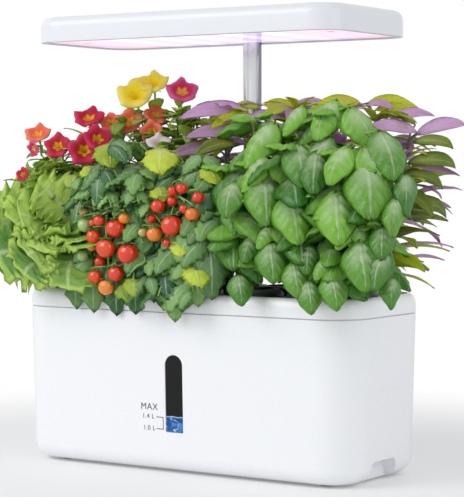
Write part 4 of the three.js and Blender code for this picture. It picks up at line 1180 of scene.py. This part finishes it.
streaky = dict(scale=220, stretch=(1, 1, 0.15), roughness=0.5)
green_stem = speckled_finish("green_stem", "6d9a44", "a5c56e", **streaky)
lettuce_leaf = dict(
    length=80, width=82, stalk=0, rows=40, columns=9, bend=0.6, cup=0.1, quilt=1.3, veins=5, teeth=0.08,
    waves=6.3, crisp=8, outline=lettuce_outline,
)
lettuce_green = leaf_finish(
    "lettuce_green", "2f7c12", "d4f072", "eef8c4", "c0e850", veins=6, roughness=0.4, edge=0.85
)
lettuce_shown = [
    (-114, -58, 166, -80, 0.85, 0, 0.34), (-117, -60, 168, -50, 0.62, 0.15, 0),
    (-130, -50, 183, -95, 0.74, 0.35, 0.3), (-144, -44, 188, -95, 0.66, 1, 0.6),
    (-142, -38, 198, -110, 0.6, 0.9, 0.9), (-130, -42, 198, -110, 0.56, 1, 1.1),
    (-114, -54, 186, -70, 0.6, 0.8, 0.7), (-109, -48, 198, -90, 0.56, 1, 0.9),
    (-111, -58, 170, -50, 0.66, 0.5, 0.3), (-106, -56, 182, 10, 0.5, 0.7, 0.3),
    (-106, -50, 188, -100, 0.6, 1, 1.2), (-95, -62, 178, 15, 0.45, 0.9, 0.3),
    (-100, -60, 174, -10, 0.6, 0.25, -0.4), (-120, -58, 190, -30, 0.5, 0.9, -0.1),
    (-134, -50, 208, -50, 0.5, 1, 0), (-150, -30, 206, -120, 0.6, 0.8, 0.7),
    (-146, -40, 176, -100, 0.6, 0.6, 0.1), (-120, -40, 210, -80, 0.5, 1, 0.6),
]


def lettuce():
    """The leaves that show come from a table of place, lean, size and age, and the rest fill the rosette."""
    plant = Growth(1, 11)
    plant.nodes = [plant.foot + Vector((0, 0, height)) for height in (6, 14, 22)]
    for x, y, z, lean, size, tint, rise in lettuce_shown:
        plant.hung((x, y, z), lean, size, lettuce_leaf, tint, 0, rise, 0.95)
    for k in range(26):
        age = k / 25
        turn = k * gold
        rise = 0.3 + 0.9 * age + plant.between(-0.12, 0.12)
        start = plant.foot + Vector((math.cos(turn) * 5, math.sin(turn) * 5, 6 + 14 * age))
        size = 0.95 - 0.4 * age
        plant.leaf(start, turn, rise, lettuce_leaf, size, plant.between(0.2, 1), plant.between(-0.3, 0.3))
    plant.stem([plant.foot, plant.foot + Vector((0, 0, 8)), plant.foot + Vector((0, 0, 22))], 7, 4)
    plant.grown("lettuce", [lettuce_green, green_stem])


lettuce()


# Cherry tomatoes, in the second and third pods. Dark, toothed leaflets in pairs on drooping stalks, and
# trusses of round fruits that hang out to the front and ripen from green through orange to red.

def pointed(foot, power, fullness):
    """A leaf's outline from its foot over its widest place to a pointed tip."""
    return lambda along: foot + (1 - foot) * math.sin(math.pi * min(1, along ** power)) ** fullness


tomato_leaflet = dict(
    length=38, width=22, stalk=2, rows=10, columns=3, bend=0.9, cup=-0.25, quilt=1.8, veins=5, teeth=0.34,
    waves=2, crisp=1.6, outline=pointed(0.05, 0.75, 0.9),
)
young_leaf = dict(
    length=34, width=29, stalk=0, rows=16, columns=4, bend=0.95, cup=-0.3, quilt=1.5, veins=4, teeth=0.13,
    waves=2.3, crisp=2.4, outline=pointed(0.05, 0.82, 0.9),
)
calyx_leaf = dict(
    length=7, width=2.2, stalk=0, rows=4, columns=1, bend=0.9, cup=0, quilt=0, veins=1, teeth=0,
    waves=1, crisp=0, outline=pointed(0.1, 1, 1),
)
tomato_green = leaf_finish("tomato_green", "1f5f38", "a8d87a", "d8f0d0", "a0d858", rib_share=0.6, painted_sheen_share=0.22)
young_green = leaf_finish("young_green", "6f9e1c", "e4f250", "f6fbb8", "dcf048", veins=4, painted_sheen_share=0.3)


def fruit_finish():
    """Tight glossy skin, green, orange or red by ripeness, and paler round the stalk."""
    paint = material("tomato_skin")
    height, ripe = spot_parts(paint, 1, 2)
    tone = paint.mixed(paint.eased(ripe, 0.1, 0.55), shade("a6c87c"), shade("ee8a22"))
    tone = paint.mixed(paint.eased(ripe, 0.5, 0.95), tone, shade("dc1c00"))
    clouds = paint.noise(160, 3)
    tone = paint.mixed(clouds * ripe * 0.35, tone, shade("f46a10"))
    tone = paint.mixed(paint.eased(height, 0.8, 1) * 0.5, tone, shade("f0a24a"))
    return paint.shown(paint.gloss(base_color=tone, roughness=0.16, coat_weight=0.5, coat_roughness=0.05))


def pinnate(plant, start, turn, rise, size, tint):
    """A drooping stalk with leaflets in pairs and one at its end."""
    path, angle = [start], rise
    for _ in range(8):
        angle -= 0.13
        path.append(path[-1] + heading(turn, angle) * 8 * size)
    if not all(plant.clear(point) for point in path[2:]):
        return False
    plant.stem(path, 1.1 * size, 0.6 * size, tint)
    for at, leaflet_size in ((3, 0.7), (5, 0.95), (7, 0.85)):
        for side in (-1, 1):
            plant.leaf(
                path[at], turn + side * 1.05, angle + 0.35, tomato_leaflet, leaflet_size * size,
                tint + plant.between(-0.4, 0.4), side * plant.between(0.1, 0.6),
            )
    plant.leaf(path[8], turn, angle, tomato_leaflet, 1.2 * size, tint)
    return True


def hung_pinnate(plant, foot, lean, size, tint):
    """A compound leaf in front: its stalk comes from the nearest stem and hangs with five leaflets."""
    foot = Vector(foot)
    node = min(plant.nodes, key=lambda place: (place - foot).length)
    ahead = outwards * math.cos(math.radians(lean)) + across_view * math.sin(math.radians(lean))
    end = foot + ahead * 5 * size - Vector((0, 0, 20 * size))
    bow = node.lerp(foot, 0.6) + Vector((0, 0, 0.25 * (node - foot).length))
    plant.stem([node, bow, foot, foot.lerp(end, 0.5), end], 1.2, 0.6, tint)
    for share, leaflet_size in ((0, 0.75), (0.65, 1)):
        for side in (-1, 1):
            place = foot.lerp(end, share)
            turn = to_viewer + math.radians(lean + side * 80)
            roll = side * 0.75
            rows = leaf_rows(place, turn, -0.35, tomato_leaflet, leaflet_size * size, roll, 0)
            age = tint + plant.between(-0.3, 0.3)
            if not any(plant.in_the_way(spot[0]) for row in rows for spot in row):
                plant.blade(rows, age, 0)
    rows = leaf_rows(end, to_viewer + math.radians(lean), -1, tomato_leaflet, 1.25 * size, 0, 0)
    plant.blade(rows, tint, 0)


def fruit(plant, middle, radius, ripe, hang):
    """A round fruit with its starry calyx, on a short stalk that leaves the truss."""
    rings, steps, sides = [], 9, 14
    for k in range(1, steps):
        angle = math.pi * k / steps
        level = middle + Vector((0, 0, -math.cos(angle) * radius * (0.94 if k < steps - 1 else 0.88)))
        turns = [2 * math.pi * n / sides for n in range(sides)]
        points = [level + heading(turn, 0) * math.sin(angle) * radius for turn in turns]
        rings.append([plant.added(point, 0.5, k / steps, ripe) for point in points])
    plant.skin(rings, 2)
    crown = middle + Vector((0, 0, radius * 0.86))
    for k in range(5):
        rows = leaf_rows(crown, k * 2 * math.pi / 5 + ripe, 0.5, calyx_leaf, radius / 6.5, 0, 0)
        plant.blade(rows, 0.6, 0, 0.3)
    bow = (crown + hang) / 2 + Vector((0, 0, 1.5))
    plant.stem([crown, crown + Vector((0, 0, 2.5)), bow, hang], 0.7, 0.7, 0.6, sides=5)


def truss(plant, root, spine, fruits):
    """Fruits along a stalk that bows out of the plant and hangs down in front of it."""
    plant.stem([root, *spine], 1.4, 0.8, 0.6)
    for x, y, z, radius, ripe in fruits:
        middle = Vector((x, y, z))
        hang = min(spine, key=lambda point: (point - middle - Vector((0, 0, radius))).length)
        fruit(plant, middle, radius, ripe, hang)


left_fruits = [
    (-61, -80, 201, 4.8, 0.9), (-70, -76, 199, 3.6, 0.8), (-47, -77, 195, 8, 1),
    (-39, -76, 203, 4.8, 0.5), (-68, -78, 188, 6.2, 0.85), (-54, -81, 179, 8.2, 0.85),
    (-34, -78, 175, 8.8, 1), (-73, -74, 180, 4.4, 0.4), (-64, -75, 168, 4.6, 1),
    (-66, -79, 156, 6, 0.85), (-45, -79, 159, 6.8, 0.95), (-54, -80, 148, 6.8, 0.55),
    (-80, -74, 197, 6.2, 0), (-83, -73, 172, 5.2, 0.05), (-84, -70, 207, 4.2, 0.3),
]
right_fruits = [
    (17, -76, 227, 4.6, 0.95), (7, -74, 225, 4.4, 1), (31, -74, 220, 5, 0.95), (-6, -76, 213, 5.8, 0.9),
    (5, -72, 217, 4.4, 1), (18, -74, 211, 4.4, 0.9), (27, -76, 207, 6, 0.65), (8, -77, 198, 8.8, 1),
    (-8, -78, 191, 6.3, 0.6), (-22, -74, 192, 4, 0.3), (-14, -73, 203, 4.2, 0.95), (1, -73, 184, 4.4, 0.9),
]
left_spine = [(-58, -62, 214), (-59, -72, 208), (-58, -75, 196), (-57, -74, 180), (-56, -74, 164)]
right_spine = [(8, -58, 236), (8, -68, 233), (8, -71, 222), (4, -71, 208), (-3, -71, 196)]
low_flowers = [((-103, -46, 258), 14), ((-92, -40, 268), 13)]
tomato_skin = fruit_finish()


def tomato(number, seed, stems, spine, fruits, shown, young):
    """Stems with compound leaves, a truss of fruits, the leaves that hang in front and some young ones."""
    plant = Growth(number, seed)
    plant.kept_open = [(Vector(berry[:3]), berry[3] + 1) for berry in left_fruits + right_fruits]
    plant.kept_open += [(Vector(middle), radius) for middle, radius in low_flowers]
    spine = [Vector(place) for place in spine]
    for k, (lean_x, lean_y, height) in enumerate(stems):
        top = plant.foot + Vector((lean_x, lean_y, height))
        path = [plant.foot.lerp(top, share) for share in (0, 0.25, 0.5, 0.75, 1)]
        plant.stem(path, 2.2, 1.1, 0.4)
        plant.nodes += path[1:]
        for n in range(11):
            share = 0.12 + 0.88 * n / 10
            start = plant.foot.lerp(top, share)
            for turn in (n * gold + k, n * gold + k + 2.2):
                for nudge in (0, 0.7, -0.7, 1.5):
                    size = (1.15 - 0.45 * share) * plant.between(0.9, 1.1)
                    rise, tint = plant.between(0.2, 0.7), plant.between(0.1, 0.9)
                    if pinnate(plant, start, turn + nudge, rise, size, tint):
                        break
    truss(plant, plant.foot + Vector((0, 0, spine[0].z - plant.foot.z - 10)), spine, fruits)
    for x, y, z, lean, size, tint in shown:
        hung_pinnate(plant, (x, y, z), lean, size, tint)
    for x, y, z, lean, size, tint in young:
        plant.hung((x, y, z), lean, size, young_leaf, tint, 3)
    finishes = [tomato_green, green_stem, tomato_skin, young_green]
    plant.grown(f"tomato_{number - 1}", finishes)


tomato(
    2, 21, [(-14, -6, 118), (12, -22, 84), (-16, -26, 90), (14, 6, 100)], left_spine, left_fruits,
    [
        (-94, -60, 184, -20, 0.85, 0.4), (-78, -64, 182, 0, 0.85, 0.6), (-58, -60, 180, 0, 0.85, 0),
        (-40, -62, 182, 10, 0.85, 0.1), (-24, -62, 192, 20, 0.85, 0.2), (-92, -56, 206, -30, 0.75, 0.5),
        (-76, -58, 232, -20, 0.7, 0.9), (-56, -56, 244, 0, 0.7, 0.5), (-40, -58, 232, 10, 0.75, 0.9),
        (-28, -60, 214, 20, 0.8, 0.6), (-96, -54, 232, -40, 0.7, 0.3), (-70, -62, 214, 0, 0.5, 0.1),
    ],
    [
        (-70, -56, 262, 10, 0.95, 0.5), (-90, -60, 244, 30, 0.55, 1), (-68, -62, 238, 0, 0.6, 1),
        (-41, -76, 150, 20, 0.65, 0.1), (-28, -74, 156, -10, 0.7, 0.4),
    ],
)
tomato(
    3, 22, [(2, -4, 92), (14, -24, 66), (-14, -24, 72), (12, 8, 88)], right_spine, right_fruits,
    [
        (-8, -62, 190, -10, 0.9, 0.1), (10, -62, 196, 10, 0.95, 0.6), (28, -62, 208, 20, 1, 0.8),
        (36, -66, 200, 10, 0.9, 0.3), (24, -64, 184, 0, 0.75, 1), (2, -64, 178, 0, 0.85, 0.9),
        (36, -54, 240, 20, 1, 0.3), (-18, -58, 240, -20, 0.75, 0.9), (20, -52, 252, 0, 0.8, 0.6),
        (-4, -54, 246, 0, 0.7, 0.4), (40, -60, 216, 30, 0.8, 0.7),
    ],
    [
        (-16, -58, 258, 0, 1, 1), (-13, -64, 228, 10, 0.6, 0.9), (27, -74, 168, 10, 0.85, 0.9),
        (16, -74, 186, -10, 0.6, 1), (26, -56, 244, 30, 0.7, 0.8),
    ],
)


# Basil, in the fourth and fifth pods. Upright stems with crossed pairs of large, glossy, puckered leaves
# that hang over the rim, and a tuft of small bright leaves on each stem.

def basil_outline(along):
    """Nearly oval, a little narrower towards the tip."""
    return 0.04 + 0.96 * math.sin(math.pi * along ** 0.74) ** 0.62 * (1 - 0.12 * along)


basil_leaf = dict(
    length=50, width=36, stalk=5, rows=20, columns=6, bend=0.95, cup=-0.6, quilt=2.6, veins=5, teeth=0,
    waves=2, crisp=1.2, outline=basil_outline,
)
inner_basil_leaf = dict(basil_leaf, rows=11, columns=4)
basil_green = leaf_finish("basil_green", "2c7624", "9cdb4c", "e8f8d0", "98d540", roughness=0.25, painted_sheen_share=0.62)
left_basil_shown = [
    (81, -58, 240, 4, 1.05, 0.5), (84, -46, 277, -68, 0.9, 0.9), (90, -60, 251, 75, 0.7, 1),
    (85, -60, 251, -78, 0.7, 1), (56, -64, 216, 8, 0.62, 0.4), (69, -74, 162, 4, 0.6, 0.1),
    (69, -70, 178, 60, 0.6, 0), (79, -66, 192, -40, 0.55, 0.2), (96, -70, 199, -60, 0.45, 0.9),
    (98, -70, 199, 70, 0.45, 0.9), (97, -72, 187, -2, 0.78, 0.3), (60, -50, 246, -50, 0.8, 0.2),
    (64, -70, 232, -30, 0.7, 0.3),
]
right_basil_shown = [
    (108, -66, 223, 14, 0.95, 0.8), (150, -66, 225, -2, 1, 0.9), (170, -56, 248, 2, 1.1, 0.5),
    (132, -34, 294, -50, 0.8, 1), (145, -40, 288, 50, 0.85, 0.8), (104, -36, 290, -80, 0.6, 1),
    (135, -46, 266, -70, 0.9, 0.2), (158, -62, 258, -50, 0.72, 1), (166, -58, 258, 64, 0.9, 0.8),
    (173, -44, 270, 24, 0.95, 0.3), (198, -62, 220, 0, 0.7, 0.5), (174, -72, 189, 0, 0.92, 0.4),
    (196, -70, 182, -40, 0.72, 0.1), (118, -74, 172, 4, 0.65, 0.5), (153, -76, 165, 0, 0.68, 0.4),
    (132, -76, 159, 0, 0.62, 0.3), (197, -68, 163, 10, 0.58, 0.2), (165, -70, 200, -60, 0.45, 0.9),
    (167, -70, 200, 60, 0.45, 0.9), (148, -74, 176, -60, 0.42, 0.8), (198, -50, 238, 24, 0.78, 0.1),
    (114, -30, 280, -90, 0.6, 0.7), (109, -56, 261, 10, 0.85, 0.3), (128, -56, 255, -12, 0.82, 0.1),
    (189, -64, 200, -10, 0.62, 0.2), (128, -68, 185, -10, 0.55, 0.1),
]


def upright_stem(plant, top, bulge, thick, thin):
    """A stem from the foot to its top, bowed outwards by a share of its lean. Gives its places by share."""
    bow = Vector((top.x - plant.foot.x, top.y - plant.foot.y, 0)) * bulge

    def place_at(share):
        return plant.foot.lerp(top, share) + bow * math.sin(math.pi * share)

    path = [place_at(n / 6) for n in range(7)]
    plant.stem(path, thick, thin, 0.6)
    plant.nodes += path[1:]
    return place_at


def basil(number, seed, stems, shown):
    """The leaves in front come from a table of place, lean, size and age, and the rest grow in pairs."""
    plant = Growth(number, seed)
    for k, (lean_x, lean_y, height) in enumerate(stems):
        top = plant.foot + Vector((lean_x, lean_y, height))
        place_at = upright_stem(plant, top, 0.25, 2.2, 1.2)
        levels = max(3, round(height / 19))
        for n in range(levels):
            share = (n + 0.8) / levels
            start = place_at(share)
            for side in range(2):
                turn = k * 1.1 + n * math.pi / 2 + side * math.pi
                size = (1.1 - 0.35 * share) * plant.between(0.85, 1.12)
                rise, tint, roll = plant.between(-0.5, 0.15), plant.between(0, 0.8), plant.between(-0.3, 0.3)
                plant.leaf(start, turn, rise, inner_basil_leaf, size, tint, roll)
        for n in range(4):
            plant.leaf(top, k + n * math.pi / 2, 0.6 - 0.1 * n, inner_basil_leaf, 0.34 + 0.06 * n, 1)
    for x, y, z, lean, size, tint in shown:
        plant.hung((x, y, z), lean, size, basil_leaf, tint, rise=-0.55)
    plant.grown(f"basil_{number - 3}", [basil_green, green_stem])


basil(
    4, 31,
    [(0, 0, 136), (16, -14, 100), (-14, -18, 96), (22, 4, 122), (4, -28, 70)],
    left_basil_shown,
)
basil(
    5, 32,
    [
        (14, 0, 140), (34, -12, 108), (-12, -18, 112), (56, -8, 92), (4, -26, 74), (66, -24, 54),
        (36, -28, 62),
    ],
    right_basil_shown,
)


# Trumpet flowers, behind the lettuce and the first tomato. Thin trailing stems with small soft leaves
# carry open flowers in red, pink, peach and yellow, each with a yellow throat.

petal_count = 5
blossom_leaf = dict(
    length=21, width=10, stalk=2, rows=7, columns=2, bend=0.7, cup=0.2, quilt=0.5, veins=3, teeth=0,
    waves=1, crisp=0.4, outline=pointed(0.06, 0.9, 0.8),
)
blossom_green = leaf_finish("blossom_green", "7fb03e", "dcee74", "eef8b8", "d4f060", veins=3, roughness=0.5)


def petal_finish(name, throat, middle, edge):
    """Petals that turn from the throat's colour through a deeper one to the edge's, finely veined."""
    paint = material(name)
    around, outward = spot_parts(paint, 0, 1)
    star = (around * (2 * math.pi * petal_count)).cosine() * 0.07
    tone = paint.mixed(paint.eased(outward + star, 0.26, 0.42), shade(throat), shade(middle))
    tone = paint.mixed(paint.eased(outward, 0.5, 1), tone, shade(edge))
    veins = paint.eased((around * (2 * math.pi * 40)).cosine(), 0.4, 1) * 0.25
    tone = paint.mixed(veins, tone, shade(middle))
    return lit_through(paint, paint.gloss(base_color=tone, roughness=0.55), edge, 0.3)


petals = {
    "red": petal_finish("petal_red", "ffd21c", "c00c2c", "e62f68"),
    "yellow": petal_finish("petal_yellow", "ffe000", "fff02c", "fffa80"),
    "peach": petal_finish("petal_peach", "ffdc4c", "f6704a", "ffa084"),
    "pink": petal_finish("petal_pink", "ffdc4c", "d22058", "ee78a8"),
    "white": petal_finish("petal_white", "fff0a8", "fdeef4", "fffafc"),
}


def flower(plant, root, mouth, facing, radius, colour):
    """A trumpet of five joined petals on a curved stalk, its mouth towards a given side."""
    axis = Vector(facing).normalized()
    side = axis.cross(Vector((0.2, 0.1, 1))).normalized()
    other = axis.cross(side)
    outside = [(-1.05, 0.09), (-0.8, 0.13), (-0.45, 0.24), (-0.12, 0.55), (0.02, 0.85), (0.0, 1)]
    inside = [(0.06, 0.97), (0.08, 0.82), (-0.05, 0.52), (-0.36, 0.2), (-0.7, 0.08)]
    sides, rings = 30, []
    for depth, share in outside + inside:
        around = []
        for n in range(sides):
            angle = 2 * math.pi * n / sides
            lobe = math.cos(petal_count * angle)
            ruffle = math.sin(9 * angle + mouth.x) * share ** 4
            flare = radius * share * (1 + 0.09 * lobe * share ** 2 + 0.03 * ruffle)
            lift = radius * (depth - 0.14 * (1 - lobe) * share ** 3 + 0.06 * ruffle)
            point = mouth + axis * lift + (side * math.cos(angle) + other * math.sin(angle)) * flare
            around.append(plant.added(point, n / sides, share, 0.5))
        rings.append(around)
    plant.skin(rings, 2 + list(petals).index(colour))
    back = mouth - axis * radius * 1.05
    path = [root, root.lerp(back, 0.5) - Vector((0, 0, 3)), back - axis * 3, back]
    plant.stem(path, 0.8, 0.9, 0.8, sides=5)
    for n in range(5):
        rows = leaf_rows(back, n * 2 * math.pi / 5, 0.6, calyx_leaf, 1.1, 0, 0)
        plant.blade(rows, 0.6, 0, 0.3)


def blossom(number, seed, flowers, fillers):
    """A stem to each flower, and some more that only bear leaves."""
    plant = Growth(number, seed, spread=10)
    for x, y, z, *rest in flowers + fillers:
        mouth = Vector((x, y, z))
        facing = Vector(rest[0]).normalized() if rest else Vector((0, 0, 1))
        root_end = mouth - facing * (rest[1] * 1.1 + 6 if rest else 2) - Vector((0, 0, 6))
        reach = root_end - plant.foot
        path = []
        for k in range(9):
            share = k / 8
            bow = Vector((reach.x, reach.y, 0)) * -0.25 * math.sin(math.pi * share)
            path.append(plant.foot + reach * share + bow)
        plant.stem(path, 1.5, 0.7, 0.7, sides=5)
        for k in range(2, 9):
            for _ in range(6):
                place = path[k].lerp(path[k - 1], plant.between(0, 1))
                size = plant.between(0.9, 1.5) * (1.2 - 0.3 * k / 8)
                turn = plant.between(0, 2 * math.pi)
                plant.leaf(place, turn, plant.between(-0.2, 0.9), blossom_leaf, size, plant.between(0, 1))
        if rest:
            flower(plant, path[-1], mouth, facing, rest[1], rest[2])
    plant.grown(f"blossom_{number - 5}", [blossom_green, green_stem, *petals.values()])


blossom(
    6, 41,
    [
        (-157, -40, 273, (0.2, -0.5, 0.6), 11, "peach"), (-131, -46, 262, (0.25, -0.8, 0.35), 11, "red"),
        (-118, -20, 287, (0.2, -0.5, 0.75), 13, "red"), (-103, -46, 258, (0.45, -0.85, 0.2), 13, "red"),
        (-92, -40, 268, (0.75, -0.5, 0.5), 12, "red"), (-154, -50, 259, (-0.2, -0.8, -0.2), 7, "pink"),
        (-152, -66, 238, (0.1, -0.8, 0.3), 6, "red"), (-103, -10, 282, (0.3, -0.7, 0.5), 9, "peach"),
    ],
    [
        (-150, -40, 246), (-120, -20, 266), (-105, 30, 286), (-165, -20, 250), (-170, 20, 250),
        (-130, 40, 262), (-110, -50, 246), (-145, -60, 236), (-95, 0, 290), (-140, 0, 262),
        (-130, -34, 250), (-92, -20, 272), (-166, -44, 254), (-120, 10, 276),
    ],
)
blossom(
    7, 42,
    [
        (-85, 0, 306, (0.35, -0.8, 0.6), 15, "yellow"), (-76, 14, 316, (0.3, -0.6, 0.7), 12.5, "yellow"),
        (-43, 10, 308, (0.5, -0.6, 0.7), 13, "pink"), (-92, 0, 283, (0.2, -0.8, 0.4), 12, "peach"),
        (-70, 10, 288, (0.5, -0.6, 0.5), 10, "peach"), (-68, 0, 273, (0.3, -0.9, 0.1), 10, "peach"),
        (-56, -6, 264, (0.4, -0.7, 0.6), 10, "white"),
    ],
    [
        (-80, 20, 296), (-40, 30, 292), (-60, 30, 306), (-44, 10, 290), (-74, 40, 284), (-40, -4, 262),
        (-78, -6, 270), (-58, 10, 280), (-34, 4, 276), (-90, 10, 290), (-64, -4, 256), (-36, 24, 300),
    ],
)


# Pointed purple plants, in the rear row on the right. Long narrow leaves, some green and some violet to
# lavender, on upright stems with small yellow green tips.

purple_leaf = dict(
    length=62, width=19, stalk=4, rows=12, columns=3, bend=0.7, cup=0.25, quilt=0.8, veins=7, teeth=0,
    waves=1.5, crisp=0.5, outline=pointed(0.05, 0.8, 0.9),
)
lavender = leaf_finish(
    "lavender_leaf", "8c7470", "eec4f0", "fbeefb", "f0c0f0", veins=7, roughness=0.4, painted_sheen_share=0.5
)
olive = leaf_finish(
    "olive_leaf", "45652f", "e2ea30", "f2f6a0", "dcf048", veins=7, roughness=0.4, painted_sheen_share=0.3
)
purple_stem = speckled_finish("purple_stem", "7d8f52", "a98fa6", **streaky)


def purple(number, seed, stems, shown):
    """Stems with leaves in spirals, and the leaves that stand out of the crown, from a table."""
    plant = Growth(number, seed)
    for k, (lean_x, lean_y, height) in enumerate(stems):
        top = plant.foot + Vector((lean_x, lean_y, height))
        place_at = upright_stem(plant, top, 0.2, 1.9, 1)
        levels = max(4, round(height / 13))
        for n in range(levels):
            share = (n + 1) / levels
            start = place_at(share)
            for side in range(2):
                for nudge in (0, 0.6, -0.6, 1.2, -1.2):
                    turn = k * 0.9 + n * gold + side * math.pi + nudge
                    size = (1.1 - 0.3 * share) * plant.between(0.8, 1.1)
                    kind = 0 if plant.chance.random() < 0.25 + 0.4 * share else 2
                    tint, rise = plant.between(0, 1), plant.between(-0.1, 0.6)
                    roll = plant.between(-0.6, 0.6)
                    if plant.leaf(start, turn, rise, purple_leaf, size, tint, roll, kind):
                        break
        for n in range(6):
            plant.leaf(top, n * gold, 0.9 - 0.1 * n, purple_leaf, 0.3 + 0.05 * n, 1, 0, 2)
    for x, y, z, lean, size, rise, kind, tint in shown:
        plant.hung((x, y, z), lean, size, purple_leaf, tint, kind, rise, 0.9)
    plant.grown(f"purple_{number - 7}", [lavender, purple_stem, olive])


purple(
    8, 51, [(-4, 6, 140), (14, 14, 118), (-14, 2, 124), (4, -10, 128), (-6, 30, 96)],
    [
        (18, 18, 287, -92, 0.95, 0.25, 0, 0.9), (26, 26, 294, 80, 0.6, 0.15, 2, 1),
        (24, 24, 291, -120, 0.45, 0.4, 2, 1), (22, 10, 268, -84, 0.85, 0.3, 0, 0.6),
        (16, 6, 262, -50, 0.8, 0.1, 2, 0.2), (10, 16, 276, -110, 0.6, 0.4, 2, 0.7),
        (20, 12, 284, 60, 0.6, 0.2, 0, 0.3), (0, 2, 256, -70, 0.75, 0.2, 0, 0.2),
        (22, 20, 284, -60, 0.7, 0.1, 2, 1),
    ],
)
purple(
    9, 52, [(4, 10, 144), (-14, 6, 126), (16, 0, 130), (0, 34, 104), (14, 30, 112)],
    [
        (78, 36, 291, 100, 0.6, 0.3, 0, 1), (84, 34, 293, -100, 0.6, 0.2, 0, 0.9),
        (60, 20, 290, -40, 0.7, 0.1, 2, 0.8), (40, 20, 288, 80, 0.65, 0.2, 0, 0.8),
        (72, 6, 268, -60, 0.7, 0.1, 0, 0.5), (56, 10, 276, 40, 0.6, 0.2, 2, 0.5),
        (66, 30, 294, -80, 0.5, 0.1, 2, 1), (52, 24, 284, -90, 0.6, 0.2, 0, 0.9),
    ],
)
purple(
    10, 53, [(20, 6, 134), (44, 10, 104), (-12, 2, 138), (8, 34, 112), (52, -8, 84), (30, 30, 92)],
    [
        (122, 28, 293, 86, 0.7, 0.22, 2, 1), (118, 28, 293, -88, 0.7, 0.22, 2, 1),
        (124, 24, 292, 40, 0.5, 0.2, 0, 1), (134, 20, 288, 84, 0.55, 0.2, 2, 0.9),
        (176, 12, 270, -84, 0.72, 0.35, 0, 1), (174, 14, 268, 92, 0.72, 0.5, 0, 0.9),
        (174, 8, 262, 70, 0.62, 0.2, 2, 0), (172, 2, 246, 76, 0.78, 0.25, 2, 0),
        (172, 0, 238, 60, 0.6, 0, 2, 0), (172, -8, 216, 70, 0.78, 0.1, 2, 0),
        (172, 16, 276, -110, 0.4, 0.7, 2, 0.2), (168, 0, 226, 40, 0.7, -0.2, 2, 0.1),
        (150, 14, 280, 70, 0.6, 0.4, 0, 0.9),
    ],
)
